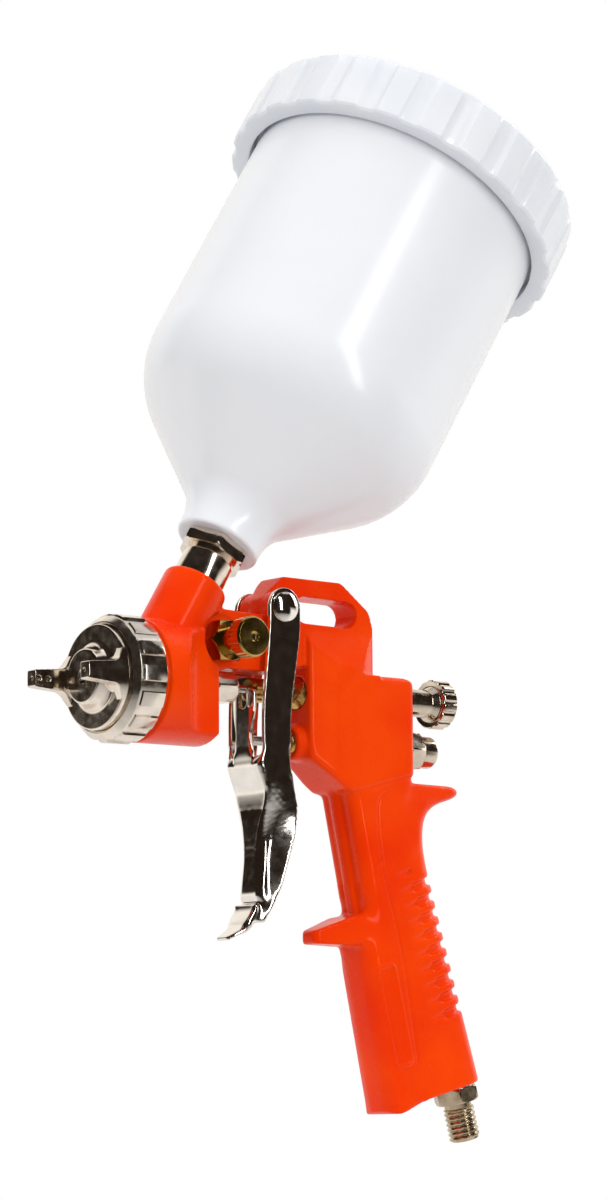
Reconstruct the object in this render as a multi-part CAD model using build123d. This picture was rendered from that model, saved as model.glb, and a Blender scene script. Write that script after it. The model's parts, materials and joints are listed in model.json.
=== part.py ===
from build123d import *
import os
from math import atan2, cos, degrees, hypot, radians, sin, tan

# Gravity-feed paint spray gun. Everything is laid out on the spray axis: X runs forward out of the nozzle,
# Y to the gun's left, Z up, with x = 0 on the front face of the air-cap ring and z = 0 on the needle.
# The finished pieces are then moved so that the origin is the middle of the hanging slot.

# fits
RUN = 0.06        # radial clearance of a turning or sliding fit
SEAT = 0.05       # radial clearance of a screwed or pressed seat
GAP = 0.3         # air between pieces that must not touch

# air-cap ring and air cap
ring_length = 13.0
ring_r = 18.6
ring_bore_r = 17.4
ring_lip = 1.6
ring_lip_r = 15.9
pad_count = 15
pad_height = 0.7
pad_angle = 13
pad_margin = 1.9
cap_flange = 1.9
cap_wall = 2.6
cap_boss_r = 8.3
cap_boss_x = 6.3
cap_face_x = 2.1
horn_tip_x = 15.3
horn_y = 13.4
horn_thick = 3.8
horn_width = 5.2
horn_root = 15.0
horn_hole_r = 0.8
cap_jet_r = 2.1

# nozzle group
nozzle_tip_r = 1.5
nozzle_tip_out = 0.5
nozzle_flange_r = 6.8
nozzle_flange = 2.2
nozzle_shank_r = 5.0
nozzle_shank = 7.0
nozzle_orifice_r = 0.75
nozzle_bore_r = 2.2
baffle_r = 13.0
baffle_thick = 2.0
baffle_holes = 10
gasket_thick = 0.5

# head of the casting
head_r = 18.6
head_length = 24.0
head_round = 6.0
waist_half = 10.3
waist_blend = 8.0
nose_length = 6.6
fluid_bore_r = 3.0
cup_lean = 32.0
cup_axis_x = -16.6
cup_boss_r = 10.15
cup_boss_top = 36.5
cup_bore_r = 4.0

# needle and packing
needle_r = 1.25
needle_length = 125.0
packing_r = 4.0
packing_depth = 7.5
packing_thick = 3.0
nut_collar_r = 4.7
nut_collar = 3.6
nut_hex = 9.2
nut_hex_length = 8.0
collar_r = 3.8
collar_length = 5.0
chuck_r = 3.9
chuck_length = 8.0
chuck_depth = 12.0

# bridge and hook block
bridge_half = 5.5
bridge_bottom = 5.3
bridge_top = 24.0
block_half = 5.5
block_front = -58.5
block_top = 35.2
block_rear = -101.0
prow_length = 4.6
slot_x = -82.5
slot_z = 25.2
slot_length = 24.4
slot_height = 8.2

# rear housing
housing_front = -74.4
housing_rear = -115.5
housing_top = 6.5
housing_half = 9.5
housing_front_half = 7.1
housing_flare = 9.6
housing_round = 3.5
wall_bottom = -20.2
bevel_end = -88.0
shoulder_z = 20.0

# grip
grip_half = 8.9
grip_front_top = -87.8
grip_rear_top = -116.6
grip_top_z = -30.0
grip_front_slope = 12.0
grip_rear_slope = 17.4
grip_bottom_z = -128.8
grip_spine = 1.8
cove_depth = 1.9
grip_shoulder = (1.4, 5.0)
grip_side = 6.0
pad_step = 2.7
pad_spine = 3.0
pad_shoulder = (0.9, 6.0)
pad_side = 4.2
heel_flat = 2.4
heel_ramp = 11.0
heel_rise = 1.6
stub_z = -74.8
stub_tip_x = -78.0
stub_half = 8.6
stub_tip_half = 3.4
spur_tip_x = -137.6
spur_z = -26.8
spur_half = 6.6
spur_root = 8.4
rib_count = 9
rib_pitch = 5.12
rib_width = 2.3
rib_depth = 1.3
rib_start_z = -53.9
rib_wrap = 2.6

# air inlet
inlet_lean = 15.0
inlet_x = -136.7
inlet_hex = 12.7
inlet_hex_length = 4.6
inlet_neck_r = 4.3
inlet_neck = 1.6
inlet_thread_r = 4.864
inlet_thread = 10.6
inlet_bore_r = 2.9
inlet_root_r = 5.0
inlet_root = 8.0
washer_thick = 0.8
air_drilling_r = 3.2

# fluid control
guide_r = 5.0
guide_length = 7.0
guide_dome = 1.6
knob_stem_r = 4.34
knob_stem_out = 13.0
knob_stem_in = 13.0
knob_r = 7.8
knob_width = 5.6
knob_teeth = 14
knob_tooth = 0.6
knob_spring_r = 3.2
knob_end_wall = 2.0
spring_wire_r = 0.45
needle_spring_r = 2.4
needle_spring_turns = 9

# air valve
valve_z = -15.5
valve_boss_r = 5.6
valve_boss = 3.4
valve_bush_r = 3.4
valve_bush_length = 12.0
valve_bush_head_r = 4.4
valve_bush_head = 1.6
valve_stem_r = 1.5
valve_stem_end = -101.0
valve_bore_r = 4.3
poppet_r = 3.5
poppet_x = -94.0
poppet_thick = 3.2
valve_spring_r = 2.7
valve_spring_turns = 6
valve_cap_hex = 11.2
valve_cap_hex_length = 6.0
valve_cap_r = 5.1
valve_cap_length = 12.2
valve_cap_plug = 7.0
valve_gasket = 0.6

# pattern valve on the left side of the head
pattern_x = -40.6
pattern_z = 13.0
pattern_boss_r = 8.7
pattern_boss_y = 5.0
pattern_boss_back = 7.5
pattern_thread_r = 4.8
pattern_thread = 9.0
pattern_hex = 12.0
pattern_hex_length = 6.6
pattern_neck_r = 4.4
pattern_neck = 4.8
pattern_knob_r = 6.2
pattern_knob_length = 6.2
pattern_knob_teeth = 28
pattern_stem_r = 1.8
pattern_seal_r = 0.75

# trigger
pivot_x = -63.4
pivot_z = 25.2
sheet = 1.4
arm_outer = 9.0
arm_head_r = 5.9
arm_front = -55.9
arm_rear = -67.4
channel_length = 50.5
channel_round = 1.9
lip_reach = 7.8
lip_half = 5.2
tongue_x = -53.9
tongue_half = 5.2
tongue_top = -1.6
notch_depth = 4.4
plate_top = -21.0
pin_r = 2.4
pin_head_r = 4.6
pin_head = 1.7
clip_r = 3.8
clip_thick = 0.8
pivot_boss_r = 5.4

# cup, lid and adapter, along the tilted cup axis
adapter_r = 8.0
adapter_thread_r = 7.0
adapter_hex = 19.0
adapter_hex_length = 4.6
adapter_neck = 10.1
adapter_thread = 9.0
adapter_nipple_r = 8.0
adapter_nipple = 6.0
cup_r = 48.0
cup_wall = 1.9
cup_neck_r = 13.2
cup_cone = 45.0
cup_neck = 10.0
cup_shoulder_round = 29.0
cup_neck_round = 17.0
cup_height = 150.2
cup_thread_rise = 1.2
cup_thread_band = 13.0
lid_skirt = 5.14
lid_band = 21.6
lid_wall = 2.2
lid_ribs = 24
lid_rib_height = 0.9
lid_rib_angle = 8.5
lid_round = 2.4
lid_gasket_thick = 1.2
gasket_width = 4.5
vent_r = 5.0
vent_height = 3.2
vent_hole_r = 1.2
vent_reach = 26.0
strainer_r = 4.6
strainer_length = 22.0
strainer_wall = 0.9
strainer_windows = 6


# --- shared builders ---------------------------------------------------------------------------------

def outline(*corners):
    """A closed face in the side view from (x, z, corner radius) corners; a missing radius is sharp."""
    points = [corner[:2] for corner in corners]
    radii = [corner[2] if len(corner) > 2 else 0 for corner in corners]
    return make_face(Plane.XZ * FilletPolyline(*points, radius=radii, close=True))


def slab(face, half):
    """The side-view face as a plate that reaches the same distance to both sides."""
    return extrude(face, half, both=True)


def slice_y(face, low, high):
    """The side-view face as a plate between two distances to the left."""
    return Pos(0, low, 0) * extrude(face, high - low, dir=(0, 1, 0))


def slice_x(face, low, high):
    """A face drawn in (y, z) as a bar between two distances forward."""
    return Pos(low, 0, 0) * extrude(Plane.YZ * face, high - low, dir=(1, 0, 0))


def plan(low, high, *corners):
    """A plate between two heights whose top view is the (x, y, corner radius) outline and its mirror image."""
    mirrored = [(c[0], -c[1], *c[2:]) for c in reversed(corners) if c[1] > 0]
    full = [*corners, *mirrored]
    points = [corner[:2] for corner in full]
    radii = [corner[2] if len(corner) > 2 else 0 for corner in full]
    face = make_face(FilletPolyline(*points, radius=radii, close=True))
    return Pos(0, 0, low) * extrude(face, high - low, dir=(0, 0, 1))


def turned(*profile):
    """A solid of revolution about the X axis from (x, radius, corner radius) corners."""
    return revolve(outline(*profile), Axis.X)


def rod(start, end, r, bore=0):
    """A round bar or tube along X."""
    return turned((start, bore), (end, bore), (end, r), (start, r))


def hexagon(start, end, across, bevel=0.5):
    """A hexagon bar along X whose corners are turned off at both ends."""
    bar = slice_x(RegularPolygon(across / 2, 6, major_radius=False), start, end)
    corner = across / 2 / cos(radians(30))
    low, high = min(start, end), max(start, end)
    return bar & turned((low, 0), (high, 0), (high, corner - bevel), (high - bevel, corner),
                        (low + bevel, corner), (low, corner - bevel))


def sector(reach, angle):
    """A triangle in (y, z) with its point on the axis, for cutting one of a ring of ribs."""
    half = reach * tan(radians(angle / 2))
    return make_face(Polyline((0, 0), (reach, -half), (reach, half), close=True))


def toothed(start, end, r, count, tooth):
    """A knurled disc along X: a bar with round grooves cut into its rim."""
    groove = slice_x(Pos(r, 0) * Circle(tooth), start, end)
    grooves = [Rot(360 / count * i, 0, 0) * groove for i in range(count)]
    return rod(start, end, r) - grooves


def spring(start, end, r, turns):
    """A compression spring along X, with its ends at start and end."""
    length = abs(end - start) - 2 * spring_wire_r
    path = Helix(length / turns, length, r)
    wire = Plane(origin=path @ 0, z_dir=path % 0) * Circle(spring_wire_r)
    coil = sweep(wire, path, is_frenet=True)
    return Pos(min(start, end) + spring_wire_r, 0, 0) * Rot(0, 90, 0) * coil


def along(origin, direction, shape):
    """A shape built along X, carried to an origin and turned to a direction."""
    side = (0, 1, 0) if abs(direction[1]) < 0.5 else (0, 0, 1)
    return Plane(origin=origin, x_dir=direction, z_dir=side) * shape


cup_direction = (-sin(radians(cup_lean)), 0, cos(radians(cup_lean)))


def on_cup_axis(shape):
    """A shape built along X with x = 0 on the spray axis, laid on the tilted cup axis."""
    return along((cup_axis_x, 0, 0), cup_direction, shape)


def on_pattern_axis(shape):
    return along((pattern_x, 0, pattern_z), (0, 1, 0), shape)


def on_valve_axis(shape):
    return Pos(0, 0, valve_z) * shape


# --- places that several pieces share ------------------------------------------------------------------

head_front = -ring_length - 0.1                        # the ring turns just clear of the head's shoulder
head_rear = head_front - head_length
nose_face = head_front + nose_length
cap_flange_x = -ring_lip - SEAT
packing_x = head_rear + packing_depth
nut_rear = head_rear - nut_collar - nut_hex_length
needle_bore_r = knob_stem_r + RUN
needle_front = cap_boss_x + nozzle_tip_out + 0.3
needle_rear = needle_front - needle_length
tongue_back = tongue_x - sheet
collar_x = tongue_back - GAP
chuck_x = housing_front - chuck_depth
knob_face = housing_rear - knob_stem_out
knob_rear = knob_face - knob_width
spring_seat = knob_rear + knob_end_wall
valve_stem_front = collar_x
valve_cap_seat = housing_rear - valve_gasket
pattern_neck_y = pattern_boss_y + pattern_hex_length
pattern_knob_y = pattern_neck_y + pattern_neck + 0.2
pattern_end_y = pattern_knob_y + pattern_knob_length
arm_inner = arm_outer - sheet
adapter_hex_x = cup_boss_top + adapter_neck
cup_bottom = adapter_hex_x + adapter_hex_length
cup_cone_start = cup_bottom + cup_neck
cup_cone_top = cup_cone_start + (cup_r - cup_neck_r) / tan(radians(cup_cone))
cup_rim = cup_bottom + cup_height
cup_thread_r = cup_r + cup_thread_rise
lid_r = cup_thread_r + RUN + lid_skirt
lid_top = cup_rim + SEAT + lid_gasket_thick + lid_wall


def front_x(z):
    """The grip's front line at a height."""
    return grip_front_top + (z - grip_top_z) * tan(radians(grip_front_slope))


def rear_x(z):
    """The grip's rear line at a height."""
    return grip_rear_top + (z - grip_top_z) * tan(radians(grip_rear_slope))


def bottom_z(x):
    """The sloping underside of the grip, square to the inlet."""
    return grip_bottom_z + heel_rise + (heel_x - heel_flat - x) * tan(radians(inlet_lean))


heel_x = front_x(grip_bottom_z) + pad_step


inlet_direction = (-sin(radians(inlet_lean)), 0, -cos(radians(inlet_lean)))
inlet_seat = (inlet_x, 0, bottom_z(inlet_x))


def on_inlet_axis(shape):
    """A shape built along X with x = 0 on the grip's underside, laid on the inlet axis."""
    return along(inlet_seat, inlet_direction, shape)


# --- the casting ---------------------------------------------------------------------------------------

def head():
    """Round head behind the ring, necked in to flat sides, with the threaded nose in front."""
    round_end = head_front - head_round
    sides = plan(-head_r - 1, head_r + 1,
                 (head_front + 1, head_r + 1), (round_end, head_r + 1, 5),
                 (round_end - waist_blend, waist_half, 7), (head_rear - 1, waist_half))
    barrel = rod(head_rear, head_front, head_r) & sides
    nose = rod(head_front - 1, nose_face, ring_bore_r - RUN)
    cup_boss = on_cup_axis(turned((2, 0), (cup_boss_top, 0), (cup_boss_top, cup_boss_r, 1.2), (2, cup_boss_r)))
    pattern_boss = on_pattern_axis(turned((-pattern_boss_back, 0), (pattern_boss_y, 0),
                                          (pattern_boss_y, pattern_boss_r, 1.5),
                                          (-pattern_boss_back, pattern_boss_r, 1.5)))
    return barrel + pattern_boss + cup_boss + nose


def hook_block():
    """Bridge from the head and the block with the hanging slot, in one side outline with a wedge-shaped front."""
    bridge = slab(outline((head_rear + 6, bridge_bottom), (head_rear + 6, bridge_top),
                          (block_front - 6, bridge_top - 1.8), (block_front - 6, bridge_bottom)), bridge_half)
    side = outline((block_front + 1.5, bridge_bottom), (block_front + 1.5, bridge_top - 3, 3), (block_front, 28, 2),
                   (block_front - 7.0, block_top, 1.5), (block_rear + 12.5, block_top - 0.3, 3),
                   (block_rear + 1.4, 26.6, 4), (block_rear, 22, 2), (block_rear, housing_top - 3),
                   (housing_front, housing_top - 3), (housing_front, bridge_bottom + 3), (pivot_x, bridge_bottom))
    wedge = plan(bridge_bottom - 6, block_top + 1,
                 (block_front + 1.5, 1.2, 1), (block_front - prow_length, block_half, 2),
                 (block_rear - 1, block_half, 0))
    slot = slab(Plane.XZ * Pos(slot_x, slot_z) * SlotOverall(slot_length, slot_height, rotation=1.5), block_half + 1)
    pivot_boss = along((pivot_x, 0, pivot_z), (0, 1, 0),
                       rod(-arm_inner + GAP, arm_inner - GAP, pivot_boss_r))
    return bridge + (slab(side, block_half) & wedge) + pivot_boss - slot


def housing():
    """Rear housing: a wide box over the grip, with shoulders that run in to the hook block."""
    side = outline((housing_front, housing_top), (housing_front, wall_bottom, 1.5),
                   (bevel_end, grip_top_z, 2), (bevel_end - 5, grip_top_z),
                   (housing_rear, grip_top_z + 6.3), (housing_rear, housing_top, 5))
    box = plan(grip_top_z - 1, housing_top + 2,
               (housing_front, housing_front_half, 0.8), (housing_front - housing_flare, housing_half, 5),
               (housing_rear, housing_half, housing_round))
    ends = RectangleRounded(2 * housing_half, 2 * (housing_top - grip_top_z), 2.5)
    lower = slab(side, housing_half) & box & slice_x(Pos(0, grip_top_z) * ends, housing_rear - 1, block_rear)
    front_ends = Rectangle(2 * housing_half, 2 * (housing_top - grip_top_z))
    lower += slab(side, housing_half) & box & slice_x(Pos(0, grip_top_z) * front_ends, block_rear, housing_front + 1)
    slopes = make_face(FilletPolyline(
        (-housing_half, housing_top - 4), (-housing_half, housing_top + 2), (-block_half + 0.3, shoulder_z),
        (block_half - 0.3, shoulder_z), (housing_half, housing_top + 2), (housing_half, housing_top - 4),
        radius=[0, 6, 0, 0, 6, 0], close=True))
    shoulder_plan = plan(housing_top - 5, shoulder_z + 1,
                         (housing_front, housing_front_half, 0.8), (housing_front - housing_flare, housing_half, 5),
                         (block_rear + 7, housing_half, 9), (block_rear, block_half - 0.3))
    shoulders = slice_x(slopes, block_rear, housing_front) & shoulder_plan
    valve_front = on_valve_axis(turned((housing_front - 2, 0), (housing_front + valve_boss, 0),
                                       (housing_front + valve_boss, valve_boss_r, 1.2),
                                       (housing_front - 2, valve_boss_r)))
    return lower + shoulders + valve_front


def grip_section(z, front, inset, spine, cove, shoulder, side):
    """The grip's outline at a height: a spine in front, a cove to the shoulder, flat sides, a round back."""
    back = rear_x(z) + inset
    half = grip_half - inset

    def wrap(hand):
        points = [(front, hand * spine), (front - cove, hand * (spine + shoulder[1]) / 2),
                  (front - shoulder[0], hand * shoulder[1]),
                  (front - shoulder[0] - 0.3 * (side - shoulder[0]), hand * (0.3 * shoulder[1] + 0.7 * half)),
                  (front - side, hand * half), (back + half, hand * half)]
        return [ThreePointArc(points[0], points[1], points[2]),
                ThreePointArc(points[2], points[3], points[4]), Line(points[4], points[5])]

    ends = [Line((front, -spine), (front, spine)),
            ThreePointArc((back + half, half), (back, 0), (back + half, -half))]
    return Pos(0, 0, z) * make_face([*ends, *wrap(1), *wrap(-1)])


def grip_loft(top, bottom, forward=0.0, inset=0.0, spine=grip_spine, cove=cove_depth,
              shoulder=grip_shoulder, side=grip_side):
    sections = [grip_section(z, front_x(z) + forward, inset, spine, cove, shoulder, side)
                for z in (bottom, top)]
    return loft(sections, ruled=True)


def grip():
    """Pistol grip: a tapered column, a fuller lower front, the ribbed back, the stub and the spur."""
    foot = grip_bottom_z - 3
    pad = grip_loft(stub_z - 1.5, foot, forward=pad_step, spine=pad_spine, cove=0.3, shoulder=pad_shoulder,
                    side=pad_side)
    column = grip_loft(grip_top_z + 3, foot) + pad
    collar = slab(outline((-95, grip_top_z - 0.5), (-95, grip_top_z + 6), (housing_rear + 0.4, grip_top_z + 8),
                          (housing_rear + 0.4, spur_z - 1), (-108, grip_top_z - 4)), grip_half)
    collar &= plan(grip_top_z - 6, grip_top_z + 9, (-90, grip_half), (housing_rear + 0.4, grip_half, housing_round))
    ramp_end = heel_x - heel_flat - heel_ramp
    keep = slab(outline((-50, 0), (-50, grip_bottom_z), (heel_x + 1, grip_bottom_z + 1.2),
                        (heel_x - 1.6, grip_bottom_z), (heel_x - heel_flat, grip_bottom_z),
                        (ramp_end, bottom_z(ramp_end), 12), (-170, bottom_z(-170)), (-170, 0)), 20)
    core = grip_loft(grip_top_z + 3, foot, inset=rib_depth)
    return (column & keep) - rib_grooves(core) + collar + stub() + spur()


def rib_grooves(core):
    """The hollows between the ribs: square to the grip's back line, cut down to the inner core."""
    lean = Rot(0, grip_rear_slope, 0)
    reach = 2 * grip_half
    groove = Box(reach, 4 * grip_half, rib_pitch - rib_width)
    grooves = []
    for i in range(rib_count + 1):
        drop = (i - 0.5) * rib_pitch * cos(radians(grip_rear_slope))
        z = rib_start_z - drop
        behind = Pos(rear_x(z) + grip_half + rib_wrap - reach / 2, 0, z) * lean * groove
        grooves.append(behind - core)
    return grooves


def stub():
    """Finger stub: a fin below the trigger that narrows to a round tip."""
    root = front_x(stub_z) - grip_side + 1
    side = outline((root, stub_z + 9), (stub_tip_x - 13, stub_z + 6.2, 4), (stub_tip_x, stub_z + 1.6, 1.7),
                   (stub_tip_x - 0.6, stub_z - 2.2, 1.6), (root, stub_z - 2.6))
    top = plan(stub_z - 6, stub_z + 12, (stub_tip_x, stub_tip_half, 3), (root, stub_half))
    return slab(side, stub_half) & top


def spur_section(z, back, half):
    """The spur's outline at a height: sides that narrow to a round back."""
    front = rear_x(grip_top_z) + 5
    root = max(spur_root, half)
    depth = min(half, (front - back) * 0.6)
    corner = (back + depth, half)
    return Pos(0, 0, z) * make_face([
        Line((front, -root), (front, root)),
        Line((front, root), corner),
        ThreePointArc(corner, (back, 0), (corner[0], -half)),
        Line((corner[0], -half), (front, -root))])


def spur():
    """Thumb spur over the web of the hand, with its throat rounded into the grip's back."""
    blade = loft([spur_section(spur_z + 0.6, spur_tip_x + 2.6, spur_half - 1.4),
                  spur_section(spur_z - 0.6, spur_tip_x + 0.2, spur_half - 0.2),
                  spur_section(spur_z - 1.6, spur_tip_x, spur_half)])
    throat = loft([spur_section(spur_z - 1.6, spur_tip_x, spur_half),
                   spur_section(spur_z - 3.6, spur_tip_x + 3.4, spur_half + 0.3),
                   spur_section(spur_z - 6.8, spur_tip_x + 11.4, spur_half + 1.2),
                   spur_section(spur_z - 12.2, spur_tip_x + 15.0, spur_half + 2.0),
                   spur_section(spur_z - 18.0, spur_tip_x + 15.4, grip_half),
                   spur_section(spur_z - 27.5, rear_x(spur_z - 27.5) + 0.1, grip_half)])
    return blade + throat


def bores():
    """Every hole in the casting."""
    fluid = rod(packing_x - 0.5, nose_face - nozzle_shank + 0.5, fluid_bore_r)
    nozzle_seat = rod(nose_face - nozzle_shank - 0.5, nose_face + 1, nozzle_shank_r + SEAT)
    packing = rod(head_rear - 1, packing_x, packing_r)
    cup_way = on_cup_axis(rod(0, cup_boss_top + 1, cup_bore_r))
    cup_seat = on_cup_axis(rod(cup_boss_top - adapter_thread - 0.5, cup_boss_top + 1, adapter_thread_r + SEAT))
    needle_way = rod(housing_rear - 1, housing_front + 1, needle_bore_r)
    guide_seat = rod(housing_front - guide_length, housing_front + 1, guide_r + SEAT)
    valve_way = on_valve_axis(rod(housing_rear - 1, housing_front - valve_bush_length + valve_boss, valve_bore_r))
    valve_seat = on_valve_axis(rod(housing_rear, housing_front + valve_boss + 1, valve_bush_r + SEAT))
    pattern_way = on_pattern_axis(rod(pattern_boss_y - pattern_thread - 3, pattern_boss_y + 1,
                                      pattern_thread_r + SEAT))
    pattern_room = on_pattern_axis(rod(pattern_boss_y, pattern_boss_y + pattern_hex_length, pattern_boss_r))
    nut_room = rod(nut_rear, head_rear, nut_collar_r + 0.8)
    pivot = along((pivot_x, 0, pivot_z), (0, 1, 0), rod(-arm_outer, arm_outer, pin_r + SEAT))
    inlet_way = on_inlet_axis(rod(-inlet_root - 1, 1, inlet_root_r + SEAT))
    chamber = (poppet_x - 8, 0, valve_z)
    away = (inlet_seat[0] - chamber[0], 0, inlet_seat[2] - chamber[2])
    air_way = along(chamber, away, rod(0, hypot(away[0], away[2]) - inlet_root, air_drilling_r))
    return [fluid, nozzle_seat, packing, cup_way, cup_seat, needle_way, guide_seat, valve_way, valve_seat,
            pattern_way, pattern_room, nut_room, pivot, inlet_way, air_way]


def gun_body():
    return head() + hook_block() + housing() + grip() - bores()


# --- spray head pieces ---------------------------------------------------------------------------------

def air_cap_ring():
    """Threaded retaining ring with a lip in front and raised pads round its rim."""
    shell = turned((-ring_length, ring_bore_r), (-ring_lip, ring_bore_r), (-ring_lip, ring_lip_r),
                   (-0.5, ring_lip_r), (0, ring_lip_r + 0.5), (0, ring_r - 1.8), (-1.8, ring_r),
                   (-ring_length + 0.8, ring_r), (-ring_length, ring_r - 0.8))
    pad_span = (-ring_length + pad_margin, -pad_margin - 0.6)
    pad_band = rod(*pad_span, ring_r + pad_height, ring_r - 0.5)
    wedge = slice_x(sector(2 * ring_r, pad_angle), *pad_span)
    pads = [pad_band & (Rot(360 / pad_count * i, 0, 0) * wedge) for i in range(pad_count)]
    return shell + pads


def air_cap():
    """Air cap: hollow disc, central boss with the jet hole, and two horns that face each other."""
    flange_r = ring_bore_r - 0.15
    face_r = ring_lip_r - 0.1
    floor = cap_face_x
    back = cap_flange_x - cap_flange
    disc = turned((back, flange_r - 3.4), (back, flange_r), (cap_flange_x, flange_r),
                  (cap_flange_x, face_r), (floor, face_r, 0.3), (floor, cap_boss_r + 1.2, 2.0),
                  (cap_boss_x - 0.4, cap_boss_r, 0.3), (cap_boss_x, cap_boss_r - 0.4), (cap_boss_x, cap_jet_r),
                  (cap_boss_x - cap_wall, cap_jet_r), (floor - cap_wall, cap_boss_r - 0.5))
    horn_side = outline((floor - 1, -horn_root / 2), (floor, -horn_root / 2),
                        (floor + 2.2, -horn_width / 2 - 0.9, 3.2), (horn_tip_x, -horn_width / 2, 0.4),
                        (horn_tip_x, horn_width / 2, 0.4), (floor + 2.2, horn_width / 2 + 0.9, 3.2),
                        (floor, horn_root / 2), (floor - 1, horn_root / 2))
    inner = horn_y - horn_thick / 2
    horn = slice_y(horn_side, inner, face_r + 1) & rod(floor - 1, horn_tip_x, face_r)
    web_side = outline((floor - 1, -horn_width), (floor, -horn_width), (floor + 2.4, -horn_width / 2, 2),
                       (floor + 2.4, horn_width / 2, 2), (floor, horn_width), (floor - 1, horn_width))
    web = slice_y(web_side, cap_boss_r - 1, inner + 0.5)
    jets = [along((horn_tip_x - 2.4 - 3.4 * i, inner - 3, 0), (0.35, 1, 0), rod(-2, 5.6, horn_hole_r))
            for i in range(2)]
    half = horn + web - jets
    return disc + half + mirror(half, Plane.XZ)


def cap_clip():
    """Open wire clip behind the air cap's flange."""
    back = cap_flange_x - cap_flange - SEAT
    wire = turned((back - 0.9, ring_bore_r - 1.6), (back, ring_bore_r - 1.6), (back, ring_bore_r - SEAT),
                  (back - 0.9, ring_bore_r - SEAT))
    mouth = Pos(back, 0, -ring_bore_r) * Box(4, 6, 6)
    return wire - mouth


def fluid_nozzle():
    """Screwed nozzle: tip through the air cap, hexagon flange, threaded shank, tapered needle seat."""
    flange_back = nose_face + baffle_thick + gasket_thick
    flange_front = flange_back + nozzle_flange
    tip = cap_boss_x + nozzle_tip_out
    outside = turned((nose_face - nozzle_shank, 0), (tip, 0), (tip, nozzle_tip_r), (tip - 3.0, nozzle_tip_r),
                     (flange_front + 1.5, 4.2, 0.7), (flange_front, nozzle_shank_r),
                     (nose_face - nozzle_shank, nozzle_shank_r))
    inside = turned((nose_face - nozzle_shank - 1, 0), (tip + 1, 0), (tip + 1, nozzle_orifice_r),
                    (tip - 1.2, nozzle_orifice_r), (tip - 5.5, nozzle_bore_r),
                    (nose_face - nozzle_shank - 1, nozzle_bore_r))
    flange = hexagon(flange_back, flange_front, 2 * nozzle_flange_r * cos(radians(30)))
    return outside + flange - inside


def air_distributor():
    """Drilled ring that evens the air out behind the cap."""
    ring = rod(nose_face, nose_face + baffle_thick, baffle_r, nozzle_shank_r + 0.1)
    hole = Pos(0, 0, (baffle_r + nozzle_flange_r) / 2 + 0.3) * rod(nose_face - 1, nose_face + baffle_thick + 1, 1.1)
    return ring - [Rot(360 / baffle_holes * i, 0, 0) * hole for i in range(baffle_holes)]


def nozzle_gasket():
    start = nose_face + baffle_thick
    return rod(start, start + gasket_thick, nozzle_flange_r - 0.9, nozzle_shank_r + 0.1)


# --- needle, packing and fluid control -----------------------------------------------------------------

def fluid_needle():
    """Full-length needle with its tapered point."""
    return turned((needle_rear, 0), (needle_front, 0), (needle_front, 0.25), (needle_front - 1.6, nozzle_orifice_r - 0.05),
                  (needle_front - 4.6, needle_r), (needle_rear + 0.5, needle_r), (needle_rear, needle_r - 0.5))


def needle_collar():
    """Collar on the needle behind the trigger's tongue."""
    return turned((collar_x - collar_length, needle_r), (collar_x, needle_r), (collar_x, collar_r - 0.8),
                  (collar_x - 0.8, collar_r), (collar_x - collar_length, collar_r))


def needle_packing():
    return rod(packing_x - packing_thick, packing_x, packing_r - SEAT, needle_r + RUN)


def packing_nut():
    """Nut that squeezes the packing: shank in the head, collar and hexagon behind it."""
    bore = rod(nut_rear - 1, packing_x, needle_r + RUN)
    shank = rod(head_rear - 1, packing_x - packing_thick, packing_r - SEAT)
    collar = rod(head_rear - nut_collar, head_rear, nut_collar_r)
    return shank + collar + hexagon(nut_rear, head_rear - nut_collar, nut_hex) - bore


def needle_guide_bush():
    """Brass bush with a domed nose in the housing's front wall."""
    return turned((housing_front - guide_length, needle_r + RUN), (housing_front + guide_dome, needle_r + RUN),
                  (housing_front + guide_dome, guide_r - 1.9, 0.4), (housing_front, guide_r, 0.8),
                  (housing_front - guide_length, guide_r))


def needle_chuck():
    """Sleeve fixed on the needle; its spring bears on it."""
    return turned((chuck_x - chuck_length, needle_r), (chuck_x, needle_r), (chuck_x, chuck_r),
                  (chuck_x - chuck_length + 3, chuck_r), (chuck_x - chuck_length + 3, 2.0),
                  (chuck_x - chuck_length, 1.9))


def needle_spring():
    return spring(spring_seat + GAP, chuck_x - chuck_length + 3 - GAP, needle_spring_r + 0.1, needle_spring_turns)


def fluid_knob():
    """Threaded stem in the housing with a coarse knurled head; hollow for the spring and needle."""
    stem = rod(knob_face - 1, housing_rear + knob_stem_in, knob_stem_r)
    hub = turned((knob_face - 0.5, 0), (knob_face + 2.2, 0), (knob_face + 2.2, knob_stem_r),
                 (knob_face, knob_stem_r + 1.6), (knob_face - 0.5, knob_stem_r + 1.6))
    rim = toothed(knob_rear, knob_face, knob_r, knob_teeth, knob_tooth)
    end_bevel = turned((knob_rear - 1, 0), (knob_face, 0), (knob_face, knob_r - 0.4), (knob_face - 0.5, knob_r + 0.1),
                       (knob_rear + 0.7, knob_r + 0.1), (knob_rear, knob_r - 0.6), (knob_rear - 1, knob_r - 0.6))
    hollow = rod(spring_seat, housing_rear + knob_stem_in + 1, knob_spring_r)
    return stem + hub + (rim & end_bevel) - hollow


# --- air valve -----------------------------------------------------------------------------------------

def air_valve_bush():
    """Screwed bush that guides the valve stem; its rear end is the valve seat."""
    front = housing_front + valve_boss
    head_part = turned((front, 0), (front + valve_bush_head, 0), (front + valve_bush_head, valve_bush_head_r, 0.5),
                       (front, valve_bush_head_r))
    sleeve = rod(front - valve_bush_length, front, valve_bush_r)
    bore = rod(front - valve_bush_length - 1, front + valve_bush_head + 1, valve_stem_r + RUN)
    return on_valve_axis(head_part + sleeve - bore)


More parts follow.
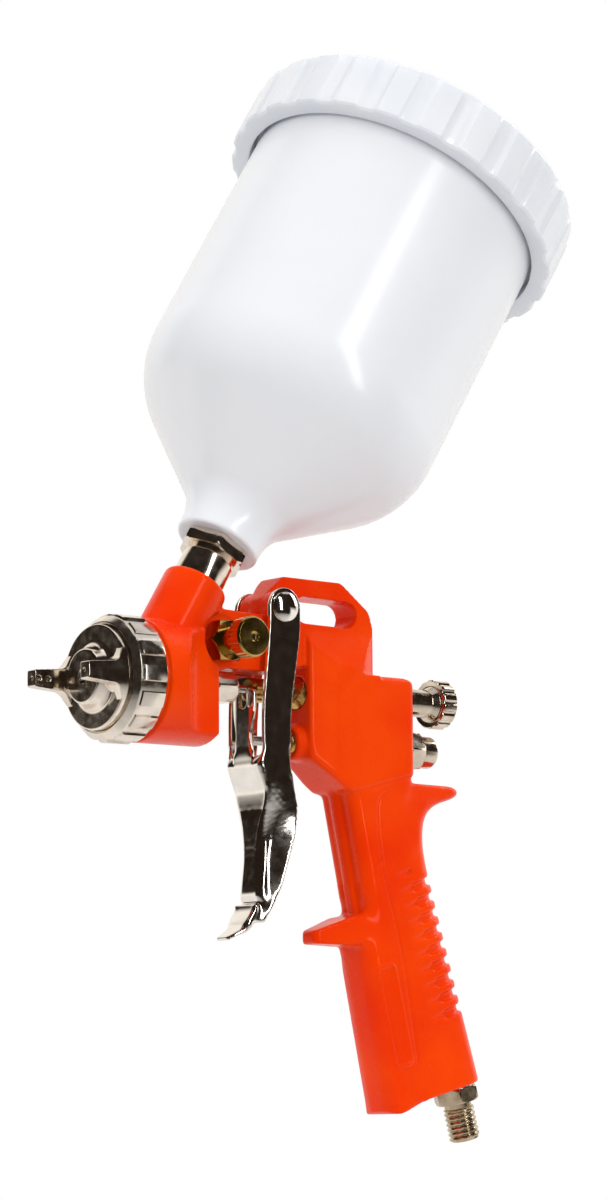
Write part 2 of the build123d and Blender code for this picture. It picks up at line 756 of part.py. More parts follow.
def air_valve_stem():
    """Push rod with a domed end at the trigger."""
    return on_valve_axis(turned((valve_stem_end, 0), (valve_stem_front, 0), (valve_stem_front, valve_stem_r, 0.9),
                                (valve_stem_end, valve_stem_r)))


def air_valve_poppet():
    """Valve head on the stem: brass cup with a soft front face."""
    return on_valve_axis(turned((poppet_x - poppet_thick, valve_stem_r), (poppet_x, valve_stem_r),
                                (poppet_x, poppet_r - 0.9), (poppet_x - 0.9, poppet_r),
                                (poppet_x - poppet_thick, poppet_r)))


def air_valve_cap():
    """Rear cap: plug in the housing, hexagon, and a round blind end."""
    rear = valve_cap_seat - valve_cap_length
    body = turned((rear, 0), (valve_cap_seat, 0), (valve_cap_seat, valve_cap_r), (rear, valve_cap_r, 1.2))
    plug = rod(valve_cap_seat - 1, housing_rear + valve_cap_plug, valve_bore_r - SEAT)
    nut = hexagon(valve_cap_seat - valve_cap_hex_length, valve_cap_seat, valve_cap_hex)
    hollow = rod(rear + 2, housing_rear + valve_cap_plug + 1, valve_spring_r + spring_wire_r + 0.15)
    return on_valve_axis(body + plug + nut - hollow)


def air_valve_gasket():
    return on_valve_axis(rod(valve_cap_seat, housing_rear, valve_cap_hex / 2, valve_bore_r + SEAT))


def air_valve_spring():
    rear = valve_cap_seat - valve_cap_length + 2
    return on_valve_axis(spring(rear + GAP, poppet_x - poppet_thick - GAP, valve_spring_r, valve_spring_turns))


# --- pattern valve -------------------------------------------------------------------------------------

def pattern_housing():
    """Brass hexagon housing screwed into its boss."""
    shank = rod(pattern_boss_y - pattern_thread, pattern_boss_y, pattern_thread_r)
    nut = hexagon(pattern_boss_y, pattern_neck_y, pattern_hex, 0.9)
    neck = rod(pattern_neck_y - 1, pattern_neck_y + pattern_neck, pattern_neck_r)
    bore = rod(pattern_boss_y - pattern_thread - 1, pattern_neck_y + pattern_neck + 1, pattern_stem_r + RUN)
    groove_y = pattern_boss_y + 2
    seal_room = rod(groove_y, groove_y + 2 * pattern_seal_r, pattern_stem_r + 2 * pattern_seal_r + SEAT)
    return on_pattern_axis(shank + nut + neck - bore - seal_room)


def pattern_seal():
    """O-ring round the valve stem."""
    middle = pattern_boss_y + 2 + pattern_seal_r
    ring = Torus(pattern_stem_r + pattern_seal_r + SEAT, pattern_seal_r)
    return on_pattern_axis(Pos(middle, 0, 0) * Rot(0, 90, 0) * ring)


def pattern_knob():
    """Brass knob with fine grooves and a dimple in its face."""
    rim = toothed(pattern_knob_y, pattern_end_y, pattern_knob_r, pattern_knob_teeth, 0.28)
    bevel = turned((pattern_knob_y, 0), (pattern_end_y, 0), (pattern_end_y, pattern_knob_r - 0.6),
                   (pattern_end_y - 0.6, pattern_knob_r + 0.1), (pattern_knob_y + 1.2, pattern_knob_r + 0.1),
                   (pattern_knob_y, pattern_knob_r - 1.1))
    dimple = turned((pattern_end_y - 0.5, 0), (pattern_end_y + 1, 0), (pattern_end_y + 1, 1.6),
                    (pattern_end_y - 0.5, 0.9))
    socket = rod(pattern_knob_y - 1, pattern_end_y - 2, pattern_stem_r)
    return on_pattern_axis((rim & bevel) - dimple - socket)


def pattern_needle():
    """Valve stem, fixed in the knob, with a conical tip."""
    return on_pattern_axis(turned((pattern_boss_y - pattern_thread - 2.4, 0), (pattern_end_y - 2, 0),
                                  (pattern_end_y - 2, pattern_stem_r),
                                  (pattern_boss_y - pattern_thread + 0.6, pattern_stem_r),
                                  (pattern_boss_y - pattern_thread - 2.4, 0.6)))


# --- trigger -------------------------------------------------------------------------------------------

def trigger_section(drop, reach, narrowing, depth, rear_narrowing, corner=channel_round):
    """A U of sheet metal, open to the rear: its drop below the plate's top edge, its front's reach past the
    arms' front line, its depth, and how much narrower than the arms it is in front and at the rear."""
    front = arm_front + reach
    rear = front - depth
    half = arm_outer - narrowing
    rear_half = arm_outer - rear_narrowing
    inner = half - sheet * 0.8
    corners = [(rear, -rear_half), (front, -half), (front, half), (rear, rear_half),
               (rear, rear_half - sheet), (front - sheet, inner), (front - sheet, -inner), (rear, -rear_half + sheet)]
    face = make_face(FilletPolyline(*corners, radius=[0, corner, corner, 0, 0, 0.6, 0.6, 0], close=True))
    return Pos(0, 0, plate_top - drop) * face


def trigger():
    """Pressed trigger: side arms on the pivot, tongue with two lobes at the needle, finger channel, curled lip."""
    channel = loft([
        trigger_section(channel_length, 1.5, 4.2, 2.6, 3.4),
        trigger_section(channel_length * 0.9, -0.1, 4.3, 3.2, 2.4),
        trigger_section(channel_length * 0.71, -2.3, 4.5, 4.2, 1.4),
        trigger_section(channel_length * 0.49, -4.0, 4.6, 5.3, 0.6),
        trigger_section(channel_length * 0.24, -1.7, 0.9, 9.3, 0),
        trigger_section(0, 0, 0, arm_front - arm_rear, 0, 0.5),
    ])
    arm_face = outline((arm_front, plate_top - 0.01), (arm_front, plate_top + 16, 20),
                       (pivot_x + arm_head_r, pivot_z - 4, 12),
                       (pivot_x + arm_head_r, pivot_z + arm_head_r, arm_head_r - 0.05),
                       (pivot_x - arm_head_r, pivot_z + arm_head_r, arm_head_r - 0.05),
                       (pivot_x - arm_head_r, pivot_z - 8, 12), (arm_rear - 0.3, plate_top + 18, 20),
                       (arm_rear, plate_top - 0.01))
    arm = slice_y(arm_face, arm_inner, arm_outer)
    arms = arm + mirror(arm, Plane.XZ)
    tongue_side = outline((tongue_x, tongue_top), (tongue_x, plate_top + 2, 6), (arm_front + 0.2, plate_top - 6),
                          (arm_front + 0.2 - sheet, plate_top - 6), (tongue_back, plate_top + 2, 6),
                          (tongue_back, tongue_top))
    notch_half = needle_r + 0.6
    notch_face = make_face(FilletPolyline(
        (-notch_half, tongue_top + 2), (-notch_half, tongue_top - notch_depth),
        (notch_half, tongue_top - notch_depth), (notch_half, tongue_top + 2),
        radius=[0, notch_half - 0.05, notch_half - 0.05, 0], close=True))
    notch = slice_x(notch_face, tongue_back - 1, tongue_x + 1)
    lobe_r = tongue_half - notch_half
    lobe = Pos(tongue_back, 0, tongue_top) * Pos(0, notch_half + lobe_r / 2, 0) * rod(0, sheet, lobe_r / 2)
    tongue = slab(tongue_side, tongue_half) - notch + lobe + mirror(lobe, Plane.XZ)
    cross = slab(outline((arm_front, plate_top + 0.5, 0.4), (arm_front, plate_top - 2),
                         (arm_front - sheet, plate_top - 2), (arm_front - sheet, plate_top + 0.5, 0.4)),
                 arm_inner + 0.2)
    lip = trigger_lip()
    pivot = along((pivot_x, 0, pivot_z), (0, 1, 0), rod(-arm_outer - 1, arm_outer + 1, pin_r + RUN))
    return channel + arms + tongue + cross + lip - pivot


def trigger_lip():
    """The front plate's lower end, curled forward and rounded like a spoon."""
    end = plate_top - channel_length
    front = arm_front + 1.5
    back = front - sheet
    strip = outline((front, end + 6), (front, end, 9), (front + lip_reach, end - 4.4, 0.5),
                    (front + lip_reach - 0.8, end - 5.4, 0.5), (back, end - 0.6, 9), (back, end + 6))
    spoon = plan(end - 8, end + 8, (front + lip_reach + 0.4, 2.2, 2), (front + 0.9, lip_half, 3), (back - 4, lip_half))
    return slab(strip, 6) & spoon


def trigger_pin():
    """Pivot pin with a domed head on the left and a groove for its clip on the right."""
    head_y = arm_outer + 0.12
    groove_y = -arm_outer - 0.12
    shank = rod(groove_y - clip_thick - 0.7, head_y, pin_r)
    dome = turned((head_y, 0), (head_y + pin_head, 0), (head_y + pin_head, 1.2, 0.8),
                  (head_y + pin_head * 0.55, pin_head_r - 0.7, 1.0), (head_y, pin_head_r))
    groove = rod(groove_y - clip_thick, groove_y, pin_r + 1, pin_r - 0.5)
    return along((pivot_x, 0, pivot_z), (0, 1, 0), shank + dome - groove)


def trigger_pin_clip():
    groove_y = -arm_outer - 0.12
    ring = rod(groove_y - clip_thick + SEAT, groove_y - SEAT, clip_r, pin_r - 0.5 + SEAT)
    mouth = Pos(groove_y, 0, -clip_r) * Box(4, 2.6, 2 * clip_r)
    return along((pivot_x, 0, pivot_z), (0, 1, 0), ring - mouth)


# --- cup and lid ---------------------------------------------------------------------------------------

def cup():
    """Translucent cup, open at the top, with a threaded rim and a thick neck that holds the adapter."""
    slope = tan(radians(cup_cone))
    socket_r = adapter_nipple_r + SEAT
    inner_r = cup_r - cup_wall
    inner_cone_top = cup_cone_top + cup_wall * (1 / cos(radians(cup_cone)) - 1) / slope
    funnel_x = inner_cone_top - (inner_r - socket_r) / slope
    outer = outline((cup_bottom, 0), (cup_bottom, cup_neck_r, 1),
                    (cup_cone_start, cup_neck_r, cup_neck_round),
                    (cup_cone_top, cup_r, cup_shoulder_round), (cup_rim, cup_r), (cup_rim, 0))
    inner = outline((cup_bottom - 1, 0), (cup_bottom - 1, socket_r), (funnel_x, socket_r),
                    (inner_cone_top, inner_r, cup_shoulder_round - cup_wall),
                    (cup_rim + 1, inner_r), (cup_rim + 1, 0))
    rim = rod(cup_rim - cup_thread_band, cup_rim, cup_thread_r, cup_r - 1)
    return on_cup_axis(revolve(outer, Axis.X) + rim - revolve(inner, Axis.X))


def cup_adapter():
    """Nickel adapter: thread in the casting, polished neck, hexagon, nipple in the cup's neck."""
    shoulder = cup_boss_top + SEAT
    thread_end = cup_boss_top - adapter_thread
    body = turned((thread_end, 0), (cup_bottom + adapter_nipple, 0),
                  (cup_bottom + adapter_nipple, adapter_nipple_r), (adapter_hex_x + 1, adapter_nipple_r),
                  (adapter_hex_x + 1, adapter_r - 0.8), (adapter_hex_x - 0.8, adapter_r - 0.8),
                  (adapter_hex_x - 1.6, adapter_r), (shoulder, adapter_r), (shoulder, adapter_thread_r),
                  (thread_end, adapter_thread_r))
    nut = hexagon(adapter_hex_x, cup_bottom, adapter_hex, 0.8)
    return on_cup_axis(body + nut - rod(0, 100, cup_bore_r + 0.6))


def paint_strainer():
    """Thimble strainer that stands in the adapter, with long windows."""
    start = cup_bottom + adapter_nipple
    flange = rod(start, start + 1.2, adapter_nipple_r - 1.6, strainer_r - strainer_wall)
    thimble = rod(start, start + strainer_length, strainer_r) - rod(start - 1, start + strainer_length - 1.2,
                                                                      strainer_r - strainer_wall)
    window = Pos(start + strainer_length / 2, 0, strainer_r) * Box(strainer_length - 7, 2.4, 2 * strainer_wall + 1)
    windows = [Rot(360 / strainer_windows * i, 0, 0) * window for i in range(strainer_windows)]
    return on_cup_axis(flange + thimble - windows)


def lid():
    """Screw lid: ribbed band, rounded top edge, shallow panel on top with the vent's hole."""
    low = lid_top - lid_band
    bore = cup_thread_r + RUN
    outside = turned((low, 0), (lid_top, 0), (lid_top, lid_r, lid_round), (low + 0.8, lid_r), (low, lid_r - 0.8))
    inside = rod(low - 1, lid_top - lid_wall, bore)
    panel = turned((lid_top - 1.0, 0), (lid_top + 1, 0), (lid_top + 1, lid_r - 8), (lid_top - 1.0, lid_r - 9))
    rib_band = turned((low + 0.6, lid_r - 1), (lid_top - lid_round * 0.6, lid_r - 1),
                      (lid_top - lid_round * 0.6 - 0.8, lid_r + lid_rib_height, 0.3),
                      (low + 0.6, lid_r + lid_rib_height, 0.3))
    wedge = slice_x(sector(2 * lid_r, lid_rib_angle), low, lid_top)
    ribs = [rib_band & (Rot(360 / lid_ribs * i, 0, 0) * wedge) for i in range(lid_ribs)]
    vent_hole = Pos(0, 0, vent_reach) * rod(lid_top - 10, lid_top + 10, vent_hole_r)
    return on_cup_axis(outside - inside - panel + ribs - vent_hole)


def lid_gasket():
    """Soft ring between the cup's rim and the lid."""
    start = cup_rim + SEAT
    return on_cup_axis(rod(start, start + lid_gasket_thick, cup_r, cup_r - gasket_width))


def vent_cap():
    """Small cap over the vent hole, with a stem that plugs it."""
    seat = lid_top - 1.0
    cap = turned((seat, 0), (seat + vent_height, 0), (seat + vent_height, vent_r - 0.6), (seat, vent_r))
    stem = rod(seat - lid_wall + 1, seat + 1, vent_hole_r - RUN)
    return on_cup_axis(Pos(0, 0, vent_reach) * (cap + stem))


# --- air inlet -----------------------------------------------------------------------------------------

def air_inlet():
    """Nickel inlet: root in the grip, hexagon, neck and the male thread that takes the hose."""
    hex_end = washer_thick + inlet_hex_length
    thread_start = hex_end + inlet_neck
    end = thread_start + inlet_thread
    root = rod(-inlet_root, washer_thick + 0.5, inlet_root_r)
    nut = hexagon(washer_thick, hex_end, inlet_hex, 0.8)
    neck = rod(hex_end - 0.5, thread_start + 0.5, inlet_neck_r)
    thread = turned((thread_start, 0), (end, 0), (end, inlet_thread_r - 0.7), (end - 0.7, inlet_thread_r),
                    (thread_start + 0.7, inlet_thread_r), (thread_start, inlet_neck_r))
    return on_inlet_axis(root + nut + neck + thread - rod(-inlet_root - 1, end + 1, inlet_bore_r))


def inlet_washer():
    return on_inlet_axis(rod(0, washer_thick, inlet_hex / 2 - 0.3, inlet_root_r + SEAT))


# --- output --------------------------------------------------------------------------------------------

pieces = [gun_body, air_cap_ring, air_cap, cap_clip, fluid_nozzle, air_distributor, nozzle_gasket,
          fluid_needle, needle_collar, needle_packing, packing_nut, needle_guide_bush, needle_chuck,
          needle_spring, fluid_knob, air_valve_bush, air_valve_stem, air_valve_poppet, air_valve_spring,
          air_valve_cap, air_valve_gasket, pattern_housing, pattern_seal, pattern_knob, pattern_needle,
          trigger, trigger_pin, trigger_pin_clip, cup_adapter, cup, paint_strainer, lid, lid_gasket,
          vent_cap, air_inlet, inlet_washer]

os.makedirs("parts", exist_ok=True)
to_origin = Pos(-slot_x, 0, -slot_z)
for piece in pieces:
    export_step(to_origin * piece(), f"parts/{piece.__name__}.step")
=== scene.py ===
import bpy
import bmesh
import json
import math
import numpy as np
from mathutils import Matrix, Vector


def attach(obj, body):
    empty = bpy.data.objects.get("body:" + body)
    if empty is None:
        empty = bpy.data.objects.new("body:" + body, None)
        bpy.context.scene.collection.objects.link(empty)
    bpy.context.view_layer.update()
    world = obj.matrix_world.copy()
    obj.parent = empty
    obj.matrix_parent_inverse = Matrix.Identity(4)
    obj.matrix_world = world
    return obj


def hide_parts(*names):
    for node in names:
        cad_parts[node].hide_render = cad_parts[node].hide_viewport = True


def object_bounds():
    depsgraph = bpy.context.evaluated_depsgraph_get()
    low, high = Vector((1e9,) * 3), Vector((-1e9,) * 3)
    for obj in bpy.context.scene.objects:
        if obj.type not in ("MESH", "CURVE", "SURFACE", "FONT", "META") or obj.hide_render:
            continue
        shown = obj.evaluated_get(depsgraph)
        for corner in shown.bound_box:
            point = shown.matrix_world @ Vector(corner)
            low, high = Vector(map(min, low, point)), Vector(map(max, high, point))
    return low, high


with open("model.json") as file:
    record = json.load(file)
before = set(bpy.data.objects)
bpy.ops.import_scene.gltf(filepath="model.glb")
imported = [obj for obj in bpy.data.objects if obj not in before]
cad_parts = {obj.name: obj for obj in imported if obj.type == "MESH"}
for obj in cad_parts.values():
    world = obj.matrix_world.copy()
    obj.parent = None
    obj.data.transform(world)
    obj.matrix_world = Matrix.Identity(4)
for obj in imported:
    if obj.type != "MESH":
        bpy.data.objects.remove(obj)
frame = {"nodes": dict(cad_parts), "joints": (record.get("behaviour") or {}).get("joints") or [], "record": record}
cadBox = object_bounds()
print("frame loaded:", len(frame["nodes"]), "nodes")

bpy.context.scene.view_settings.view_transform = "Standard"
mm = 0.001
collection = bpy.context.scene.collection
joints = {joint["name"]: joint for joint in frame["joints"]}


# Each turned part is drawn along its own Z, in mm from the foot of its axis.

def axisPlace(point, direction):
    turn = Vector(direction).normalized().to_track_quat("Z", "Y")
    return Matrix.Translation(Vector(point)) @ turn.to_matrix().to_4x4()


sprayPoint = Vector(joints["air_cap_turn"]["pos_m"])  # the middle of the ring's front face
sprayAxis = axisPlace(sprayPoint, (1, 0, 0))
cupLine = Vector(joints["cup_unscrew"]["axis"]).normalized()
cupPoint = Vector(joints["cup_unscrew"]["pos_m"])
cupFoot = cupPoint + cupLine * ((sprayPoint.z - cupPoint.z) / cupLine.z)
cupAxis = axisPlace(cupFoot, cupLine)
patternPoint = Vector(joints["pattern_knob_turn"]["pos_m"])
patternAxis = axisPlace((patternPoint.x, 0, patternPoint.z), (0, 1, 0))
pivotAxis = axisPlace(joints["trigger_pull"]["pos_m"], (0, 1, 0))
valveBelow = 15.5 * mm  # how far the air valve's axis lies under the spray axis
valveAxis = axisPlace(sprayPoint - Vector((0, 0, valveBelow)), (1, 0, 0))
inletMount = next(mount for mount in frame["record"]["mounts"] if mount["name"] == "air_inlet")
inletAxis = axisPlace(inletMount["pos_m"], inletMount["axis"])


# building blocks

def place(name, mesh, body, material, nodes, matrix=None):
    piece = bpy.data.objects.new(name, mesh)
    collection.objects.link(piece)
    if matrix is not None:
        piece.matrix_world = matrix
    mesh.materials.clear()
    mesh.materials.append(material)
    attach(piece, body)
    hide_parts(*nodes)


def softCorners(corners, stepDegrees=15):
    # a closed outline of (along, radius, rounding) corners, with its rounded corners drawn as short steps
    points = []
    count = len(corners)
    for i, corner in enumerate(corners):
        here = Vector(corner[:2])
        rounding = corner[2] if len(corner) > 2 else 0
        if not rounding:
            points.append((here.x, here.y))
            continue
        toBefore = (Vector(corners[i - 1][:2]) - here).normalized()
        toAfter = (Vector(corners[(i + 1) % count][:2]) - here).normalized()
        half = toBefore.angle(toAfter) / 2
        centre = here + (toBefore + toAfter).normalized() * rounding / math.sin(half)
        arm = here + toBefore * rounding / math.tan(half) - centre
        sweep = math.pi - 2 * half
        hand = 1 if toBefore.x * toAfter.y - toBefore.y * toAfter.x < 0 else -1
        parts = max(2, math.ceil(math.degrees(sweep) / stepDegrees))
        for k in range(parts + 1):
            turned = Matrix.Rotation(hand * sweep * k / parts, 2) @ arm
            points.append((centre.x + turned.x, centre.y + turned.y))
    return points


def evenAngles(steps):
    return [2 * math.pi * k / steps for k in range(steps)]


def ribAngles(count, ribDegrees, edgeDegrees, inside, between):
    # even steps across each rib and each gap, with a narrow flank between them
    rib, edge, pitch = (math.radians(v) for v in (ribDegrees, edgeDegrees, 360 / count))
    angles = []
    for i in range(count):
        start = i * pitch - rib / 2
        angles += [start + rib * k / inside for k in range(inside + 1)]
        gapStart, gapEnd = start + rib + edge, start + pitch - edge
        angles += [gapStart + (gapEnd - gapStart) * k / between for k in range(between + 1)]
    return angles


def turnedMesh(name, rows, angles, reach=None, closed=True, sharp=28):
    # rings of points round Z, one for each (along, radius) row; reach gives the radius that isn't round
    shape = bmesh.new()
    rings = []
    for along, radius in rows:
        if radius < 1e-6:
            rings.append([shape.verts.new((0, 0, along * mm))])
            continue
        ring = []
        for angle in angles:
            r = reach(along, radius, angle) if reach else radius
            ring.append(shape.verts.new((r * mm * math.cos(angle), r * mm * math.sin(angle), along * mm)))
        rings.append(ring)
    pairs = list(zip(rings, rings[1:])) + ([(rings[-1], rings[0])] if closed else [])
    for low, high in pairs:
        for k in range(len(angles)):
            n = (k + 1) % len(angles)
            corners = [low[k % len(low)], low[n % len(low)], high[n % len(high)], high[k % len(high)]]
            corners = list(dict.fromkeys(corners))
            if len(corners) > 2:
                shape.faces.new(corners)
    bmesh.ops.recalc_face_normals(shape, faces=shape.faces)
    mesh = bpy.data.meshes.new(name)
    shape.to_mesh(mesh)
    shape.free()
    mesh.shade_smooth()
    mesh.set_sharp_from_angle(angle=math.radians(sharp))
    return mesh


def splitStraight(rows, radius, shortest, parts):
    # more rows along the long stretch at this radius, so that its teeth or ribs can start and end
    body = []
    for before, after in zip(rows, rows[1:]):
        body.append(before)
        run = after[0] - before[0]
        if max(abs(before[1] - radius), abs(after[1] - radius)) < 0.01 and abs(run) > shortest:
            body += [(before[0] + run * k / parts, radius) for k in range(1, parts)]
    return body + [rows[-1]]


def hexCorner(across):
    return across / 2 / math.cos(math.radians(30))


def hexRows(low, high, across, bevel):
    # rows for a hexagon, close together at both ends where its corners are turned off
    corner = hexCorner(across)
    steps = [bevel * k / 4 for k in range(5)]
    return [(low + step, corner) for step in steps] + [(high - step, corner) for step in reversed(steps)]


def hexReach(low, high, across, bevel, phase=0):
    # between low and high the radius follows a hexagon; rows well inside its flats stay round
    corner = hexCorner(across)

    def reach(along, radius, angle):
        if along < low - 1e-6 or along > high + 1e-6 or radius < across / 2 - 0.5:
            return radius
        turned = (math.degrees(angle) - phase) % 60 - 30
        flat = across / 2 / math.cos(math.radians(turned))
        fromEnd = min(along - low, high - along)
        return min(flat, corner - bevel + min(fromEnd, bevel))
    return reach


def softCopy(node, voxel, passes, matrix=None):
    # the CAD solid remeshed in small even cells and smoothed, so that its edges are worn round
    mesh = frame["nodes"][node].data.copy()
    lump = bpy.data.objects.new(node + "_soft", mesh)
    collection.objects.link(lump)
    weld = lump.modifiers.new("weld", "WELD")
    weld.merge_threshold = 1e-6
    cells = lump.modifiers.new("cells", "REMESH")
    cells.mode = "VOXEL"
    cells.voxel_size = voxel * mm
    smooth = lump.modifiers.new("smooth", "SMOOTH")
    smooth.factor = 0.5
    smooth.iterations = passes
    graph = bpy.context.evaluated_depsgraph_get()
    result = bpy.data.meshes.new_from_object(lump.evaluated_get(graph))
    bpy.data.objects.remove(lump)
    if matrix is not None:
        result.transform(matrix.inverted())
    result.shade_smooth()
    return result


def readSpots(mesh):
    spots = np.empty(len(mesh.vertices) * 3)
    mesh.vertices.foreach_get("co", spots)
    return spots.reshape(-1, 3) / mm


def writeSpots(mesh, spots):
    mesh.vertices.foreach_set("co", (spots * mm).ravel())
    mesh.update()


def fadeBox(values, low, high, fade):
    # 1 between low and high, falling to 0 over the fade on both sides
    inside = np.minimum(values - low, high - values)
    return np.clip(inside / fade + 1, 0, 1)


def melt(mesh, spots, weight, passes):
    # rounds the mesh where the weight says, by moving each point toward the middle of its neighbours
    pairs = np.empty(len(mesh.edges) * 2, int)
    mesh.edges.foreach_get("vertices", pairs)
    pairs = pairs.reshape(-1, 2)
    both = np.concatenate([pairs, pairs[:, ::-1]])
    both = both[weight[both[:, 0]] > 0.01]
    chosen, index = np.unique(both[:, 0], return_inverse=True)
    count = np.bincount(index)[:, None]
    pull = 0.5 * weight[chosen][:, None]
    for _ in range(passes):
        middle = np.stack([np.bincount(index, spots[both[:, 1], k]) for k in range(3)], 1) / count
        spots[chosen] += pull * (middle - spots[chosen])
    return spots


# finishes

def newFinish(name):
    material = bpy.data.materials.new(name)
    material.use_nodes = True
    tree = material.node_tree
    shader = tree.nodes["Principled BSDF"]
    return material, tree, shader


def noiseValue(tree, scale, detail=3.0, vector=None):
    texture = tree.nodes.new("ShaderNodeTexNoise")
    texture.inputs["Scale"].default_value = scale
    texture.inputs["Detail"].default_value = detail
    if vector is None:
        coordinates = tree.nodes.new("ShaderNodeTexCoord")
        vector = coordinates.outputs["Object"]
    tree.links.new(vector, texture.inputs["Vector"])
    return texture.outputs["Fac"]


def spread(tree, value, low, high, toLow, toHigh):
    ranger = tree.nodes.new("ShaderNodeMapRange")
    for slotName, number in (("From Min", low), ("From Max", high), ("To Min", toLow), ("To Max", toHigh)):
        ranger.inputs[slotName].default_value = number
    tree.links.new(value, ranger.inputs["Value"])
    return ranger.outputs["Result"]


def blendColours(tree, factor, first, second):
    mixer = tree.nodes.new("ShaderNodeMix")
    mixer.data_type = "RGBA"
    mixer.inputs["A"].default_value = (*first, 1)
    mixer.inputs["B"].default_value = (*second, 1)
    tree.links.new(factor, mixer.inputs["Factor"])
    return mixer.outputs["Result"]


def relief(tree, height, strength, distance, under=None):
    bump = tree.nodes.new("ShaderNodeBump")
    bump.inputs["Strength"].default_value = strength
    bump.inputs["Distance"].default_value = distance
    tree.links.new(height, bump.inputs["Height"])
    if under is not None:
        tree.links.new(under, bump.inputs["Normal"])
    return bump.outputs["Normal"]


def latheLines(tree, pitch):
    # fine rings round the part's own Z, from the distance to that axis and the place along it
    coordinates = tree.nodes.new("ShaderNodeTexCoord")
    split = tree.nodes.new("ShaderNodeSeparateXYZ")
    tree.links.new(coordinates.outputs["Object"], split.inputs[0])
    flat = tree.nodes.new("ShaderNodeCombineXYZ")
    tree.links.new(split.outputs["X"], flat.inputs["X"])
    tree.links.new(split.outputs["Y"], flat.inputs["Y"])
    length = tree.nodes.new("ShaderNodeVectorMath")
    length.operation = "LENGTH"
    tree.links.new(flat.outputs[0], length.inputs[0])
    rings = tree.nodes.new("ShaderNodeCombineXYZ")
    tree.links.new(length.outputs["Value"], rings.inputs["X"])
    tree.links.new(split.outputs["Z"], rings.inputs["Y"])
    return noiseValue(tree, 1 / (pitch * mm), 2.0, rings.outputs[0])


enamel = {"deep": (0.88, 0.028, 0.0012), "light": (0.97, 0.062, 0.0016), "rough": (0.22, 0.34),
          "peelScale": 520, "peel": 0.00003, "gritScale": 3200, "grit": 0.00001,
          "shine": 0.18, "shineTint": (1.0, 0.22, 0.05, 1), "coat": 0.1, "coatRough": 0.06}


def enamelFinish():
    # sprayed orange-red enamel: slow drift in the colour, orange peel, a clear gloss on top
    material, tree, shader = newFinish("orangeEnamel")
    drift = spread(tree, noiseValue(tree, 38, 2), 0.3, 0.7, 0, 1)
    tree.links.new(blendColours(tree, drift, enamel["deep"], enamel["light"]), shader.inputs["Base Color"])
    rough = spread(tree, noiseValue(tree, 160, 4), 0.3, 0.7, *enamel["rough"])
    tree.links.new(rough, shader.inputs["Roughness"])
    peel = relief(tree, noiseValue(tree, enamel["peelScale"], 1), 0.5, enamel["peel"])
    grit = relief(tree, noiseValue(tree, enamel["gritScale"], 3), 0.2, enamel["grit"], peel)
    tree.links.new(grit, shader.inputs["Normal"])
    shader.inputs["Specular IOR Level"].default_value = enamel["shine"]
    shader.inputs["Specular Tint"].default_value = enamel["shineTint"]
    shader.inputs["Coat Weight"].default_value = enamel["coat"]
    shader.inputs["Coat Roughness"].default_value = enamel["coatRough"]
    return material


def platedFinish(name, look):
    # bright plate: soft smears in the gloss, faint pits, and lathe lines where it was turned
    material, tree, shader = newFinish(name)
    shader.inputs["Metallic"].default_value = 1
    smear = spread(tree, noiseValue(tree, 210, 4), 0.3, 0.72, 0, 1)
    tree.links.new(blendColours(tree, smear, look["dark"], look["bright"]), shader.inputs["Base Color"])
    rough = spread(tree, noiseValue(tree, 330, 5), 0.32, 0.7, *look["rough"])
    tree.links.new(rough, shader.inputs["Roughness"])
    normal = relief(tree, noiseValue(tree, look.get("pitScale", 2400), 3), look["pits"], 0.00002)
    if "lines" in look:
        normal = relief(tree, latheLines(tree, look["lines"]), look["lineDepth"], 0.00001, normal)
    tree.links.new(normal, shader.inputs["Normal"])
    return material


def plasticFinish(name, look):
    # moulded plastic: a slight cloud in the colour and a faint moulding texture
    material, tree, shader = newFinish(name)
    cloud = spread(tree, noiseValue(tree, 45, 3), 0.3, 0.7, 0, 1)
    tree.links.new(blendColours(tree, cloud, look["dark"], look["bright"]), shader.inputs["Base Color"])
    rough = spread(tree, noiseValue(tree, 420, 3), 0.3, 0.7, *look["rough"])
    tree.links.new(rough, shader.inputs["Roughness"])
    grain = relief(tree, noiseValue(tree, look["grain"], 3), look["relief"], 0.00003)
    tree.links.new(grain, shader.inputs["Normal"])
    shader.inputs["Subsurface Weight"].default_value = look.get("glow", 0)
    shader.inputs["Subsurface Radius"].default_value = (1, 1, 1)
    shader.inputs["Subsurface Scale"].default_value = 0.004
    shader.inputs["Transmission Weight"].default_value = look.get("clear", 0)
    shader.inputs["IOR"].default_value = 1.5
    return material


def lathedAndPlain(name, look):
    # the same plate with and without lathe lines, for pieces drawn on their own axis and for all others
    without = {key: value for key, value in look.items() if key != "lines"}
    return platedFinish(name, look), platedFinish(name + "Plain", without)


nickelLook = {"dark": (0.74, 0.65, 0.55), "bright": (0.90, 0.82, 0.72), "rough": (0.09, 0.19), "pits": 0.10,
              "lines": 0.35, "lineDepth": 0.12}
brassLook = {"dark": (0.42, 0.27, 0.06), "bright": (0.62, 0.43, 0.14), "rough": (0.14, 0.26), "pits": 0.08,
             "lines": 0.3, "lineDepth": 0.2}
steelLook = {"dark": (0.50, 0.49, 0.47), "bright": (0.64, 0.62, 0.60), "rough": (0.18, 0.32), "pits": 0.08}
inletLook = dict(nickelLook, dark=(0.40, 0.31, 0.20), bright=(0.66, 0.55, 0.40), rough=(0.16, 0.30))
fittingLook = dict(nickelLook, dark=(0.56, 0.47, 0.37), bright=(0.80, 0.70, 0.58), rough=(0.10, 0.22))
lathedNickel, plainNickel = lathedAndPlain("warmNickel", nickelLook)
inletNickel = platedFinish("inletNickel", inletLook)
fittingNickel = platedFinish("fittingNickel", fittingLook)
lathedBrass, plainBrass = lathedAndPlain("machinedBrass", brassLook)
